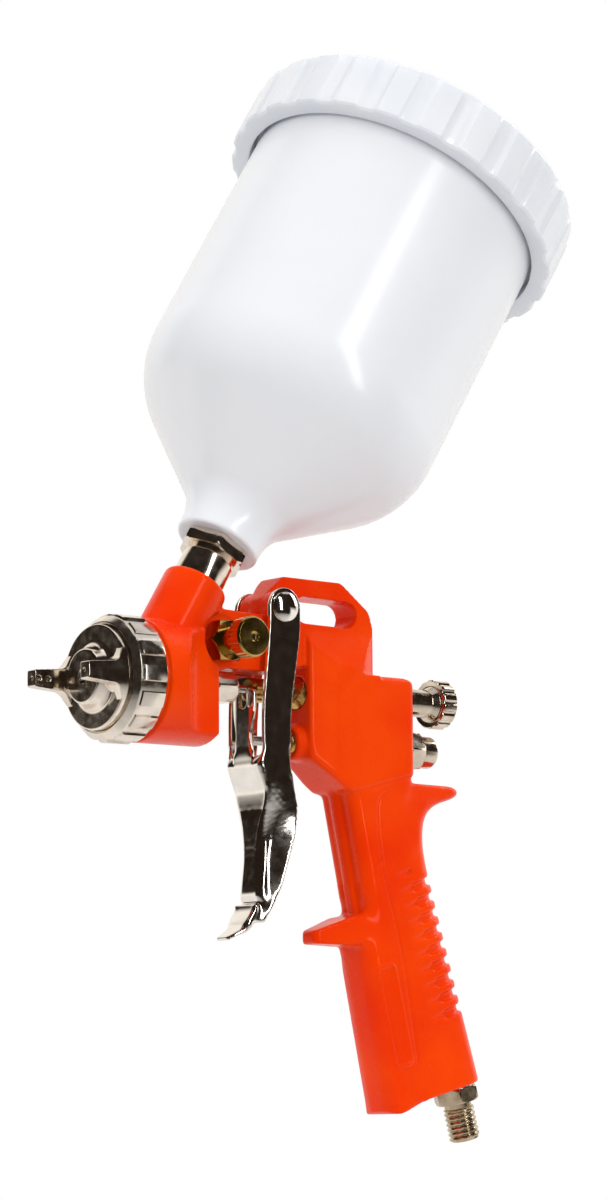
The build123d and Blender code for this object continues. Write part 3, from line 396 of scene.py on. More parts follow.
finishes = {
    "orange_enamel": enamelFinish(),
    "nickel": plainNickel,
    "ring_nickel": platedFinish("castNickel", {
        "dark": (0.70, 0.62, 0.53), "bright": (0.90, 0.83, 0.73), "rough": (0.10, 0.24), "pits": 0.45,
        "pitScale": 900}),
    "pin_chrome": platedFinish("pinChrome", {
        "dark": (0.84, 0.80, 0.74), "bright": (0.92, 0.88, 0.83), "rough": (0.05, 0.10), "pits": 0.03}),
    "steel": platedFinish("turnedSteel", steelLook),
    "chrome": platedFinish("triggerChrome", {
        "dark": (0.84, 0.79, 0.72), "bright": (0.93, 0.89, 0.83), "rough": (0.07, 0.14), "pits": 0.05}),
    "brass": plainBrass,
    "milky_plastic": plasticFinish("milkyNylon", {
        "dark": (0.91, 0.94, 0.99), "bright": (0.93, 0.955, 1.0), "rough": (0.19, 0.25), "grain": 900,
        "relief": 0.06, "glow": 0.2, "clear": 0.02}),
    "lid_plastic": plasticFinish("lidPolymer", {
        "dark": (0.81, 0.845, 0.90), "bright": (0.86, 0.885, 0.935), "rough": (0.14, 0.22), "grain": 700,
        "relief": 0.06, "glow": 0.25}),
    "filter_plastic": plasticFinish("filterPlastic", {
        "dark": (0.78, 0.79, 0.77), "bright": (0.85, 0.86, 0.84), "rough": (0.4, 0.55), "grain": 1500,
        "relief": 0.3}),
    "ptfe": plasticFinish("packingPtfe", {
        "dark": (0.88, 0.88, 0.86), "bright": (0.93, 0.93, 0.91), "rough": (0.35, 0.5), "grain": 1500,
        "relief": 0.2}),
    "seal": plasticFinish("blackNitrile", {
        "dark": (0.012, 0.012, 0.012), "bright": (0.03, 0.03, 0.03), "rough": (0.45, 0.6), "grain": 2200,
        "relief": 0.4}),
    "seal_white": plasticFinish("whiteFoam", {
        "dark": (0.78, 0.78, 0.75), "bright": (0.86, 0.86, 0.84), "rough": (0.6, 0.8), "grain": 2600,
        "relief": 0.5}),
}
print("finishes made:", len(finishes))

slotOf = {subpart["node"]: subpart["material_slot"] for subpart in frame["record"]["subparts"]}
for nodeName, cadObject in frame["nodes"].items():
    cadObject.data.materials.clear()
    cadObject.data.materials.append(finishes[slotOf.get(nodeName, "nickel")])

# camera, lights and stage

lens = {"azimuth": 38.799, "elevation": -7.703, "distance": 1.23954, "roll": 0.433, "focal": 120,
        "aim": (0.00473, 0.0, 0.004175)}


def addCamera():
    data = bpy.data.cameras.new("camera")
    data.lens = lens["focal"]
    data.sensor_width = 36
    data.clip_start = 0.01
    camera = bpy.data.objects.new("camera", data)
    collection.objects.link(camera)
    turn, rise = math.radians(lens["azimuth"]), math.radians(lens["elevation"])
    back = Vector((math.sin(turn) * math.cos(rise), math.cos(turn) * math.cos(rise), math.sin(rise)))
    camera.location = Vector(lens["aim"]) + back * lens["distance"]
    camera.rotation_mode = "QUATERNION"
    camera.rotation_quaternion = back.to_track_quat("Z", "Y") @ \
        Matrix.Rotation(math.radians(-lens["roll"]), 3, "Z").to_quaternion()
    bpy.context.scene.camera = camera
    return back


towardCamera = addCamera()

# the mirrored room is dark in front, and above the horizon round the sides
studio = {"roomSide": towardCamera, "roomFront": (0.0, 0.16), "roomSides": (-0.55, -0.40),
          "horizon": (-0.04, 0.10), "backdrop": (1.0, 0.96, 0.90), "darkRoom": (0.016, 0.010, 0.006),
          "fill": (1.0, 0.985, 0.97), "fillStrength": (0.29, 0.86), "fillHeights": (-0.6, 0.8)}


def studioWorld():
    # what bright metal mirrors is a white backdrop all round, and a dark room in front and above the horizon
    world = bpy.data.worlds.new("studio")
    bpy.context.scene.world = world
    world.use_nodes = True
    tree = world.node_tree
    tree.nodes.clear()
    output = tree.nodes.new("ShaderNodeOutputWorld")
    direction = tree.nodes.new("ShaderNodeTexCoord").outputs["Generated"]
    toward = tree.nodes.new("ShaderNodeVectorMath")
    toward.operation = "DOT_PRODUCT"
    toward.inputs[1].default_value = studio["roomSide"]
    tree.links.new(direction, toward.inputs[0])
    split = tree.nodes.new("ShaderNodeSeparateXYZ")
    tree.links.new(direction, split.inputs[0])

    def combine(operation, first, second):
        joined = tree.nodes.new("ShaderNodeMath")
        joined.operation = operation
        tree.links.new(first, joined.inputs[0])
        tree.links.new(second, joined.inputs[1])
        return joined.outputs[0]

    facing = spread(tree, toward.outputs["Value"], *studio["roomFront"], 0, 1)
    around = spread(tree, toward.outputs["Value"], *studio["roomSides"], 0, 1)
    above = spread(tree, split.outputs["Z"], *studio["horizon"], 0, 1)
    room = combine("MAXIMUM", facing, combine("MULTIPLY", around, above))
    mirrored = blendColours(tree, room, studio["backdrop"], studio["darkRoom"])
    path = tree.nodes.new("ShaderNodeLightPath")
    sharpRay = combine("MAXIMUM", path.outputs["Is Glossy Ray"], path.outputs["Is Transmission Ray"])
    soft = tree.nodes.new("ShaderNodeBackground")
    soft.inputs["Color"].default_value = (*studio["fill"], 1)
    strength = spread(tree, split.outputs["Z"], *studio["fillHeights"], *studio["fillStrength"])
    tree.links.new(strength, soft.inputs["Strength"])
    mirror = tree.nodes.new("ShaderNodeBackground")
    tree.links.new(mirrored, mirror.inputs["Color"])
    plain = tree.nodes.new("ShaderNodeBackground")
    plain.inputs["Color"].default_value = (1, 1, 1, 1)
    first = tree.nodes.new("ShaderNodeMixShader")
    tree.links.new(sharpRay, first.inputs[0])
    tree.links.new(soft.outputs[0], first.inputs[1])
    tree.links.new(mirror.outputs[0], first.inputs[2])
    second = tree.nodes.new("ShaderNodeMixShader")
    tree.links.new(path.outputs["Is Camera Ray"], second.inputs[0])
    tree.links.new(first.outputs[0], second.inputs[1])
    tree.links.new(plain.outputs[0], second.inputs[2])
    tree.links.new(second.outputs[0], output.inputs[0])


studioWorld()


def softBox(name, where, size, power, mirrored):
    # a lamp that faces the origin
    data = bpy.data.lights.new(name, "AREA")
    data.shape = "RECTANGLE"
    data.size, data.size_y = size
    data.energy = power
    light = bpy.data.objects.new(name, data)
    collection.objects.link(light)
    light.location = where
    light.visible_glossy = mirrored
    light.rotation_mode = "QUATERNION"
    light.rotation_quaternion = where.to_track_quat("Z", "Y")


leftward = towardCamera.cross(Vector((0, 0, 1))).normalized()
for boxName, side, front, height, boxSize, power, mirrored in (
        ("keyBox", 0.75, 0.75, 0.45, (0.22, 0.80), 3.0, False),
        ("streakBox", -0.70, 0.78, 0.40, (0.14, 0.90), 3.6, True),
        ("rimBox", -0.90, -0.50, 0.50, (0.30, 0.80), 2.0, True),
        ("topBox", 0.10, 0.10, 1.30, (0.70, 0.70), 1.6, True)):
    boxPlace = leftward * side + towardCamera * front + Vector((0, 0, height))
    softBox(boxName, boxPlace, boxSize, power, mirrored)


stageFloor = {"radius": 1.1, "forward": -0.55, "below": 0.05, "fadeFrom": 0.45,
              "colour": (0.86, 0.86, 0.86, 1), "rough": 0.7}


def layFloor():
    # a pale round floor that fades out at its edge
    radius = stageFloor["radius"]
    shape = bmesh.new()
    bmesh.ops.create_circle(shape, cap_ends=True, radius=radius, segments=64)
    mesh = bpy.data.meshes.new("floor")
    shape.to_mesh(mesh)
    shape.free()
    floor = bpy.data.objects.new("floor", mesh)
    collection.objects.link(floor)
    floor.location = (*(towardCamera * stageFloor["forward"]).xy, cadBox[0].z - stageFloor["below"])
    material, tree, shader = newFinish("paleFloor")
    shader.inputs["Base Color"].default_value = stageFloor["colour"]
    shader.inputs["Roughness"].default_value = stageFloor["rough"]
    fromMiddle = tree.nodes.new("ShaderNodeVectorMath")
    fromMiddle.operation = "LENGTH"
    tree.links.new(tree.nodes.new("ShaderNodeTexCoord").outputs["Object"], fromMiddle.inputs[0])
    alpha = spread(tree, fromMiddle.outputs["Value"], stageFloor["fadeFrom"] * radius, radius, 1, 0)
    tree.links.new(alpha, shader.inputs["Alpha"])
    mesh.materials.append(material)


layFloor()
print("studio lit")

# the casting

casting = {
    "cell": 0.42, "passes": 9,
    # the grip's front and rear lines start at its top, and the front leans by these degrees
    "gripTop": -55.2, "gripFront": -5.3, "gripRear": -34.1, "frontLean": 12,
    # where the blends run wide: from, to and fade along x, along the height and across
    "stubRoot": ((-24, -13, 3), (-106, -90, 3), (4.5, 20, 2)), "stubPasses": 90,
    "boxFront": ((-14, 12, 4), (-58, -43, 2)), "spurRoot": ((-40, -26, 4), (-76, -53, 2)),
    "frontEdge": ((-9, 5, 1), (-150, -60, 3)), "stubHeight": (-104, -84, 2), "widePasses": 26,
    # the least sideways part of a normal that counts as the grip's side, and the fade above it
    "sideFrom": 0.55, "sideFade": 0.3,
}


def distanceToLine(points, route):
    # points (n, 2), and the shortest distance of each to a line through the route's points
    best = np.full(len(points), 1e9)
    for start, end in zip(route[:-1], route[1:]):
        a, b = np.array(start, float), np.array(end, float)
        run = b - a
        t = np.clip(((points - a) @ run) / (run @ run), 0, 1)
        best = np.minimum(best, np.linalg.norm(points - (a + t[:, None] * run), axis=1))
    return best


def smoothRoute(corners, parts=8):
    # a curve through a few points, so that a moulded line has no kinks
    route = []
    full = [corners[0], *corners, corners[-1]]
    for p0, p1, p2, p3 in zip(full, full[1:], full[2:], full[3:]):
        for k in range(parts):
            t = k / parts
            route.append(tuple(0.5 * (2 * b + (c - a) * t + (2 * a - 5 * b + 4 * c - d) * t * t
                                      + (3 * b - a - 3 * c + d) * t ** 3)
                               for a, b, c, d in zip(p0, p1, p2, p3)))
    route.append(tuple(corners[-1]))
    return route


gripLines = {
    "panel": [(-21.0, -54.9), (-17.9, -57.6), (-17.5, -66), (-20.4, -83), (-25.6, -101), (-29.1, -118),
              (-32.4, -138.1)],
    "seam": [(-5.2, -54.8), (-9, -54.9), (-31.7, -48.9)],
    "depth": 0.36, "width": 0.42,
    "frameMiddle": (-23.3, -123.9), "frameSize": (6.5, 31.2), "frameLean": 13.3, "frameRound": 1.6,
    "frameHeight": 0.5, "frameWidth": 0.40, "frameLeftOf": 5,
    "wellDepth": 0.15, "wellEdge": 0.4, "wellFade": 0.5,
}


def surfaceSide(mesh):
    # how squarely each point faces sideways, and its outward direction
    normals = np.empty(len(mesh.vertices) * 3)
    mesh.vertex_normals.foreach_get("vector", normals)
    normals = normals.reshape(-1, 3)
    return np.clip((np.abs(normals[:, 1]) - casting["sideFrom"]) / casting["sideFade"], 0, 1), normals


def frontLine(height):
    # where the grip's front runs at a height
    return casting["gripFront"] + (height - casting["gripTop"]) * math.tan(math.radians(casting["frontLean"]))


def zone(limits, *coordinates):
    # 1 where every coordinate is inside its limits, fading out beyond them
    weight = 1
    for coordinate, limit in zip(coordinates, limits):
        weight = weight * fadeBox(coordinate, *limit)
    return weight


def roundCasting(mesh, spots):
    # wide blends at the roots of the finger stub and the spur, on the box's front and the grip's front edge
    x, y, z = spots[:, 0], np.abs(spots[:, 1]), spots[:, 2]
    spots = melt(mesh, spots, zone(casting["stubRoot"], x, z, y), casting["stubPasses"])
    roots = np.maximum(zone(casting["boxFront"], x, z), zone(casting["spurRoot"], x, z))
    front = zone(casting["frontEdge"], x - frontLine(z), z) * (1 - fadeBox(z, *casting["stubHeight"]))
    return melt(mesh, spots, np.maximum(roots, front), casting["widePasses"])


# a hollow's end lies this far forward of the grip's rear line and down from the hollow's height
ribs = {"start": -79.1, "pitch": 5.12, "lean": 17.4, "count": 9, "reach": 6.0, "depth": 0.75, "width": 1.5,
        "endForward": 11.09, "endDown": 2.66, "endBack": 0.6}


def fadeRibs(mesh, spots):
    # the hollows between the ribs run out along the grip's sides
    side, normals = surfaceSide(mesh)
    lean = math.radians(ribs["lean"])
    push = np.zeros(len(spots))
    for i in range(ribs["count"] + 1):
        height = ribs["start"] - (i - 0.5) * ribs["pitch"] * math.cos(lean)
        rear = casting["gripRear"] + (height - casting["gripTop"]) * math.tan(lean)
        dx, dz = spots[:, 0] - (rear + ribs["endForward"]), spots[:, 2] - (height - ribs["endDown"])
        forward = dx * math.cos(lean) - dz * math.sin(lean)
        across = np.abs(dx * math.sin(lean) + dz * math.cos(lean))
        fade = np.clip(1 - forward / ribs["reach"], 0, 1) * (forward > -ribs["endBack"])
        push -= ribs["depth"] * fade * np.cos(np.clip(across / ribs["width"], 0, 1) * math.pi / 2) ** 2
    return spots + normals * (push * side)[:, None]


def pressLines(mesh, spots):
    # the grip's moulded lines and the bare frame on its left side, cut into the fine mesh
    side, normals = surfaceSide(mesh)
    flat = spots[:, [0, 2]]
    push = np.zeros(len(spots))
    for name in ("panel", "seam"):
        gap = distanceToLine(flat, smoothRoute(gripLines[name]))
        push -= gripLines["depth"] * np.exp(-(gap / gripLines["width"]) ** 2)
    lean = math.radians(gripLines["frameLean"])
    local = flat - np.array(gripLines["frameMiddle"])
    across = local[:, 0] * math.cos(lean) - local[:, 1] * math.sin(lean)
    down = local[:, 0] * math.sin(lean) + local[:, 1] * math.cos(lean)
    wide, tall = gripLines["frameSize"]
    rounding = gripLines["frameRound"]
    qx = np.abs(across) - wide / 2 + rounding
    qz = np.abs(down) - tall / 2 + rounding
    edge = np.hypot(np.maximum(qx, 0), np.maximum(qz, 0)) + np.minimum(np.maximum(qx, qz), 0) - rounding
    rim = gripLines["frameHeight"] * np.exp(-(edge / gripLines["frameWidth"]) ** 2)
    well = gripLines["wellDepth"] * np.clip((-edge - gripLines["wellEdge"]) / gripLines["wellFade"], 0, 1)
    push += (rim - well) * (spots[:, 1] > gripLines["frameLeftOf"])
    return spots + normals * (push * side)[:, None]


bodyMesh = softCopy("gun_body", casting["cell"], casting["passes"])
for shapeStep in (roundCasting, fadeRibs, pressLines):
    writeSpots(bodyMesh, shapeStep(bodyMesh, readSpots(bodyMesh)))
place("castBody", bodyMesh, "gun", finishes["orange_enamel"], ["gun_body"])
print("casting:", len(bodyMesh.vertices), "points")

# air cap and ring

ring = {"length": 13.0, "radius": 18.6, "bore": 17.4, "lip": 1.6, "lipRadius": 15.9,
        "pads": 15, "padDegrees": 13.0, "padHeight": 0.7, "padFrom": -11.1, "padTo": -2.5,
        "padEdge": 0.25, "padShoulder": 0.35, "padSideDegrees": 0.9}


def makeRing():
    r, length, lip = ring["radius"], ring["length"], ring["lip"]
    edge, shoulder, side = ring["padEdge"], ring["padShoulder"], ring["padSideDegrees"]
    lipRadius = ring["lipRadius"]
    rows = softCorners([
        (-length, ring["bore"]), (-lip, ring["bore"]), (-lip, lipRadius), (-0.4, lipRadius, 0.3),
        (0, lipRadius + 0.5, 0.25), (0, r - 1.8, 0.5), (-1.8, r, 0.6)])
    front, rear, lift = ring["padTo"], ring["padFrom"], ring["padHeight"]
    rows += [(front, r), (front - edge, r + 0.8 * lift), (front - edge - shoulder, r + lift),
             (rear + edge + shoulder, r + lift), (rear + edge, r + 0.8 * lift), (rear, r)]
    rows += softCorners([(-length + 0.8, r, 0.3), (-length, r - 0.8, 0.3), (-length, ring["bore"])])[:-1]
    half = ring["padDegrees"] / 2
    pitch = 360 / ring["pads"]

    def reach(along, radius, angle):
        if radius <= r:
            return radius
        fromPad = abs((math.degrees(angle) + pitch / 2) % pitch - pitch / 2)
        return r + (radius - r) * min(1, max(0, (half + side - fromPad) / side))
    return turnedMesh("capRing", rows, ribAngles(ring["pads"], ring["padDegrees"], side, 6, 5), reach)


place("capRing", makeRing(), "cap_ring", finishes["ring_nickel"], ["air_cap_ring"], sprayAxis)

airCap = {"cell": 0.17, "passes": 4}
capMesh = softCopy("air_cap", airCap["cell"], airCap["passes"], sprayAxis)
place("airCap", capMesh, "cap", lathedNickel, ["air_cap"], sprayAxis)
print("air cap:", len(capMesh.vertices), "points")

# trigger and its pin

press = {
    "cell": 0.24, "passes": 5,
    # the channel's top edge and, at drops below it, the front line and half width that are pressed there
    # and how far the rear line moves
    "top": -46.2, "drops": (-2, 3, 10.0, 14.0, 24.7, 31.4, 41.3, 44.5, 54), "blur": 2.0, "runIn": 2,
    "front": (29.1, 29.1, 26.2, 26.1, 26.5, 26.8, 27.3, 27.6, 35.0),
    "half": (8.8, 8.3, 7.9, 7.5, 5.7, 5.1, 5.9, 6.1, 6.1), "halfPower": 1.5, "halfEnd": 46, "halfFade": 4,
    "rear": (0, 0, -0.4, -1.2, -1.9, -1.6, -1.6, -1.2, 0),
    # drops where the channel is measured first, and the bands that are measured across it
    "stations": (0.2, 54.0, 1.2), "measureBlur": 3, "level": 0.4, "middle": 1.5, "beside": (5.8, 6.6),
    "besideEnd": 8, "besideFrom": 4.8, "sideDeep": 2.5,
    # the arms lean forward on the way down, the rear edge more than the front
    "leanTop": -4.0, "leanRun": 34.0, "leanFade": 16, "leanFront": 1.1, "leanRear": 2.1,
    "armRear": 15, "armWidth": 11.6,
    # the tongue is waisted, leans less, and falls back at its edges
    "tongueHalf": 5.8, "tongueRear": 26.0, "tongueFade": 2.5, "tongueLean": 0.5,
    "waistAt": (-39.5, 5.0), "waist": 0.34, "tongueEdge": 0.04, "edgeFrom": 1.8, "edgeEnd": -46,
    # the plate's corners are drawn out toward a square
    "corner": 2.2, "cornerPower": 6, "cornerDrops": (9, 42, 5), "cornerAhead": 0.6,
    # heights that are rounded over last, the second only in the middle, each with its passes
    "blends": [([(-98, -89, 3)], 30), ([(-90, -44, 2), (-4, 4, 1)], 14), ([(-50, -43.5, 1.5)], 24)],
}


def gentle(at, stations, values, blur):
    # a line through the values at their stations, with its corners blurred
    step, margin = 0.25, 20
    grid = np.arange(min(stations) - margin, max(stations) + margin, step)
    window = np.hanning(int(2 * blur / step) + 1)
    return np.interp(at, grid, np.convolve(np.interp(grid, stations, values), window / window.sum(), "same"))


def levelEdges(spots, drop, stations):
    # at each station: the front line in the middle and beside the tongue, the half width, the rear line
    edges = []
    low, high = press["beside"]
    for station in stations:
        level = spots[np.abs(drop - station) < press["level"]]
        x, y = level[:, 0], np.abs(level[:, 1])
        front = x[y < press["middle"]].max()
        beside = x[(y > low) & (y < high)].max() if station < press["besideEnd"] else front
        edges.append((front, beside, y[x > beside - press["sideDeep"]].max(), x.min()))
    return np.array(edges).T


def leanTrigger(mesh, spots):
    # the arms' lean, and a waisted tongue that runs down into the plate without a step
    x, y, z = spots[:, 0], spots[:, 1], spots[:, 2]
    share = np.clip((press["leanTop"] - z) / press["leanRun"], 0, 1)
    share = share * share * (3 - 2 * share) * (1 - np.clip((press["top"] - z) / press["leanFade"], 0, 1))
    toFront = np.clip((x - press["armRear"]) / press["armWidth"], 0, 1.2)
    tongue = (np.abs(y) < press["tongueHalf"]) * (x > press["tongueRear"])
    tongue = tongue * np.clip((z - press["top"]) / press["tongueFade"], 0, 1)
    centre, reach = press["waistAt"]
    spots[:, 1] = y * (1 - tongue * press["waist"] * np.exp(-((z - centre) / reach) ** 2))
    lean = toFront * press["leanFront"] + (1 - toFront) * press["leanRear"]
    lean += tongue * (press["tongueLean"] - lean)
    worn = np.maximum(np.abs(y) - press["edgeFrom"], 0) ** 2 * (z > press["edgeEnd"])
    spots[:, 0] = x + share * lean - tongue * press["tongueEdge"] * worn
    return spots


def pressTrigger(mesh, spots):
    # the press gives the channel its waist and firm corners, and carries the plate's front on into the lip
    x, y, z = spots[:, 0].copy(), spots[:, 1].copy(), spots[:, 2].copy()
    drop = press["top"] - z
    stations = np.arange(*press["stations"])
    middle, beside, half, rear = (gentle(drop, stations, line, press["measureBlur"])
                                  for line in levelEdges(spots, drop, stations))
    front = middle + np.clip(np.abs(y) - press["besideFrom"], 0, 1) * (beside - middle)
    wanted, wantedHalf, rearShift = (gentle(drop, press["drops"], press[key], press["blur"])
                                     for key in ("front", "half", "rear"))
    t = np.clip((x - rear) / (front - rear), 0, 1)
    inChannel = np.clip((drop + press["runIn"]) / (2 * press["runIn"]), 0, 1)
    corner, power = press["corner"], press["cornerPower"]
    outward = np.clip((np.abs(y) - half + corner) / corner, 0, 1.2)
    forward = np.clip((x - front + corner) / corner, 0, 1.2)
    inCorner = fadeBox(drop, *press["cornerDrops"]) * (outward > 0) * (forward > 0)
    inCorner = inCorner * (x < front + press["cornerAhead"])
    firm = np.maximum((outward ** power + forward ** power) ** (1 / power), 1e-6)
    stretch = inCorner * (np.hypot(outward, forward) / firm - 1)
    x += stretch * forward * corner
    y += np.sign(y) * stretch * outward * corner
    narrowing = inChannel * t ** press["halfPower"] * (wantedHalf / half - 1)
    spots[:, 0] = x + inChannel * (t * (wanted - front) + (1 - t) * rearShift)
    spots[:, 1] = y * (1 + narrowing * np.clip((press["halfEnd"] - drop) / press["halfFade"], 0, 1))
    return spots


def roundTrigger(mesh, spots):
    # the curl runs out of the channel without a ledge, and the channel's top runs in to the arms
    for limits, passes in press["blends"]:
        spots = melt(mesh, spots, zone(limits, spots[:, 2], spots[:, 1]), passes)
    return spots


triggerMesh = softCopy("trigger", press["cell"], press["passes"])
for shapeStep in (leanTrigger, pressTrigger, roundTrigger):
    writeSpots(triggerMesh, shapeStep(triggerMesh, readSpots(triggerMesh)))
place("triggerPressing", triggerMesh, "trigger", finishes["chrome"], ["trigger"])
print("trigger:", len(triggerMesh.vertices), "points")

pin = {"radius": 2.4, "seat": 9.12, "head": 1.7, "headRadius": 4.6, "headEdge": 0.55, "domeRadius": 4.5,
       "domePower": 2.2, "domeRows": 10, "clip": 0.8, "clipRadius": 1.9, "tail": 0.7}


def makePin():
    seat, r, rim = pin["seat"], pin["radius"], pin["seat"] + pin["headEdge"]
    clipEnd = -seat - pin["clip"]
    tail = clipEnd - pin["tail"]
    rows = softCorners([
        (tail, 0), (tail, r, 0.4), (clipEnd, r), (clipEnd, pin["clipRadius"]), (-seat, pin["clipRadius"]),
        (-seat, r), (seat, r), (seat, pin["headRadius"], 0.25), (rim, pin["domeRadius"])])
    for k in range(1, pin["domeRows"] + 1):
        share = 1 - k / pin["domeRows"]
        rise = (pin["head"] - pin["headEdge"]) * (1 - share ** pin["domePower"])
        rows.append((rim + rise, pin["domeRadius"] * share))
    return turnedMesh("triggerPin", rows, evenAngles(64), closed=False)


place("triggerPin", makePin(), "gun", finishes["pin_chrome"], ["trigger_pin"], pivotAxis)

# pattern valve

pattern = {"boss": 5.0, "thread": 9.0, "threadRadius": 4.8, "hex": 12.0, "hexLength": 6.6, "bevel": 1.0,
           "neck": 4.8, "neckRadius": 4.4, "stem": 1.8, "stemGap": 0.06, "knobGap": 0.2, "knob": 6.2,
           "knobRadius": 6.2, "teeth": 28, "groove": 0.22, "groovePower": 1.5}


def makePatternHousing():
    boss, neck, bore = pattern["boss"], pattern["neckRadius"], pattern["stem"] + pattern["stemGap"]
    foot, hexEnd = boss - pattern["thread"], boss + pattern["hexLength"]
    neckEnd = hexEnd + pattern["neck"]
    rows = [(foot, bore), (foot, pattern["threadRadius"]), (boss, pattern["threadRadius"])]
    rows += hexRows(boss, hexEnd, pattern["hex"], pattern["bevel"])
    rows += softCorners([(hexEnd, neck), (neckEnd, neck, 0.3), (neckEnd, bore)])
    return turnedMesh("patternHousing", rows, evenAngles(96),
                      hexReach(boss, hexEnd, pattern["hex"], pattern["bevel"]))


def makePatternKnob():
    start = pattern["boss"] + pattern["hexLength"] + pattern["neck"] + pattern["knobGap"]
    end, r = start + pattern["knob"], pattern["knobRadius"]
    rows = softCorners([
        (start, pattern["stem"]), (start, r - 1.1, 0.2), (start + 1.2, r, 0.2), (end - 0.6, r, 0.15),
        (end, r - 0.6, 0.15), (end, 1.6, 0.1), (end - 0.5, 0.9, 0.2), (end - 0.5, 0)])

    def reach(along, radius, angle):
        if radius < r - 0.02 or along < start + 1.25 or along > end - 0.65:
            return radius
        groove = max(0, math.cos(pattern["teeth"] * angle)) ** pattern["groovePower"]
        return radius - pattern["groove"] * groove
    angles = evenAngles(pattern["teeth"] * 8)
    return turnedMesh("patternKnob", splitStraight(rows, r, 1, 5), angles, reach, closed=False)


place("patternHousing", makePatternHousing(), "gun", lathedBrass, ["pattern_housing"], patternAxis)
place("patternKnob", makePatternKnob(), "pattern_control", lathedBrass, ["pattern_knob"],
      patternAxis)
print("pattern valve made")

# cup, adapter and lid

cup = {"bottom": 51.2, "height": 150.2, "radius": 48.0, "wall": 1.9, "neckRadius": 13.2, "coneTop": 96.0,
       "coneDegrees": 45.0, "shoulderRound": 29.0, "neckRound": 17.0, "threadRadius": 49.2,
       "threadBand": 13.0, "socket": 8.05}


def makeCup():
    top = cup["bottom"] + cup["height"]
    slope = math.tan(math.radians(cup["coneDegrees"]))
    inner = cup["radius"] - cup["wall"]
    innerTop = cup["coneTop"] + cup["wall"] * (1 / math.cos(math.radians(cup["coneDegrees"])) - 1) / slope
    funnel = innerTop - (inner - cup["socket"]) / slope
    rows = softCorners([
        (cup["bottom"], cup["socket"]), (cup["bottom"], cup["neckRadius"], 1.0),
        (cup["coneTop"] - (cup["radius"] - cup["neckRadius"]) / slope, cup["neckRadius"], cup["neckRound"]),
        (cup["coneTop"], cup["radius"], cup["shoulderRound"]),
        (top - cup["threadBand"], cup["radius"], 0.5), (top - cup["threadBand"], cup["threadRadius"], 0.4),
        (top, cup["threadRadius"], 0.5), (top, inner, 0.5),
        (innerTop, inner, cup["shoulderRound"] - cup["wall"]), (funnel, cup["socket"])], 6)
    return turnedMesh("paintCup", rows, evenAngles(144))


place("paintCup", makeCup(), "cup", finishes["milky_plastic"], ["cup"], cupAxis)

adapter = {"shoulder": 36.55, "thread": 9.05, "threadRadius": 7.0, "neckRadius": 8.0, "hexFrom": 46.6,
           "hexLength": 4.6, "hex": 19.0, "bevel": 0.8, "reliefRadius": 7.2, "nippleRadius": 8.0,
           "nipple": 6.0, "bore": 4.6}


def makeAdapter():
    base, neck, relieved = adapter["shoulder"], adapter["neckRadius"], adapter["reliefRadius"]
    hexLow = adapter["hexFrom"]
    foot, hexHigh = base - adapter["thread"], hexLow + adapter["hexLength"]
    nippleEnd = hexHigh + adapter["nipple"]
    rows = softCorners([
        (foot, adapter["bore"]), (foot, adapter["threadRadius"]), (base, adapter["threadRadius"]),
        (base, neck, 0.15), (hexLow - 1.6, neck, 0.3), (hexLow - 1.0, relieved, 0.2), (hexLow, relieved)])
    rows += hexRows(hexLow, hexHigh, adapter["hex"], adapter["bevel"])
    rows += [(hexHigh, adapter["nippleRadius"]), (nippleEnd, adapter["nippleRadius"]),
             (nippleEnd, adapter["bore"])]
    return turnedMesh("cupAdapter", rows, evenAngles(96),
                      hexReach(hexLow, hexHigh, adapter["hex"], adapter["bevel"], 30))


place("cupAdapter", makeAdapter(), "cup", lathedNickel, ["cup_adapter"], cupAxis)

lid = {"radius": 54.4, "band": 21.6, "wall": 2.2, "gasket": 1.25, "threadGap": 0.06, "round": 2.4,
       "panelEdge": 8.0, "panelDeep": 1.0, "ribs": 24, "ribDegrees": 8.5, "ribHeight": 0.9, "ribRunOut": 1.2}


def makeLid():
    top = cup["bottom"] + cup["height"] + lid["gasket"] + lid["wall"]
    low, r, bore = top - lid["band"], lid["radius"], cup["threadRadius"] + lid["threadGap"]
    rows = softCorners([
        (top - lid["panelDeep"], 0), (top - lid["panelDeep"], r - lid["panelEdge"] - 1, 0.6),
        (top, r - lid["panelEdge"], 0.6), (top, r, lid["round"]), (low + 0.8, r, 0.4), (low, r - 0.8, 0.4),
        (low, bore, 0.4), (top - lid["wall"], bore), (top - lid["wall"], 0)])
    liftTop = top - lid["round"] * 0.6
    half, pitch = lid["ribDegrees"] / 2, 360 / lid["ribs"]

    def reach(along, radius, angle):
        if radius < r - 0.7 or along > liftTop:
            return radius
        fromRib = abs((math.degrees(angle) + pitch / 2) % pitch - pitch / 2)
        across = min(1, max(0, (half + 0.5 - fromRib) / 1.0))
        rise = min(1, (liftTop - along) / lid["ribRunOut"])
        return radius + lid["ribHeight"] * across * across * (3 - 2 * across) * rise
    angles = ribAngles(lid["ribs"], lid["ribDegrees"] - 1, 0.34, 5, 5)
    return turnedMesh("screwLid", splitStraight(rows, r, 5, 8), angles, reach, closed=False)


place("screwLid", makeLid(), "lid", finishes["lid_plastic"], ["lid"], cupAxis)
print("cup and lid made")

# fluid knob, valve cap and inlet

knob = {"rear": -115.5, "stem": 4.34, "stemOut": 13.0, "stemIn": 13.0, "radius": 7.8, "width": 5.6,
        "teeth": 14, "groove": 0.62, "grooveHalfDegrees": 5.2, "groovePower": 4, "bore": 3.2, "endWall": 2.0,
        "dish": 0.35}


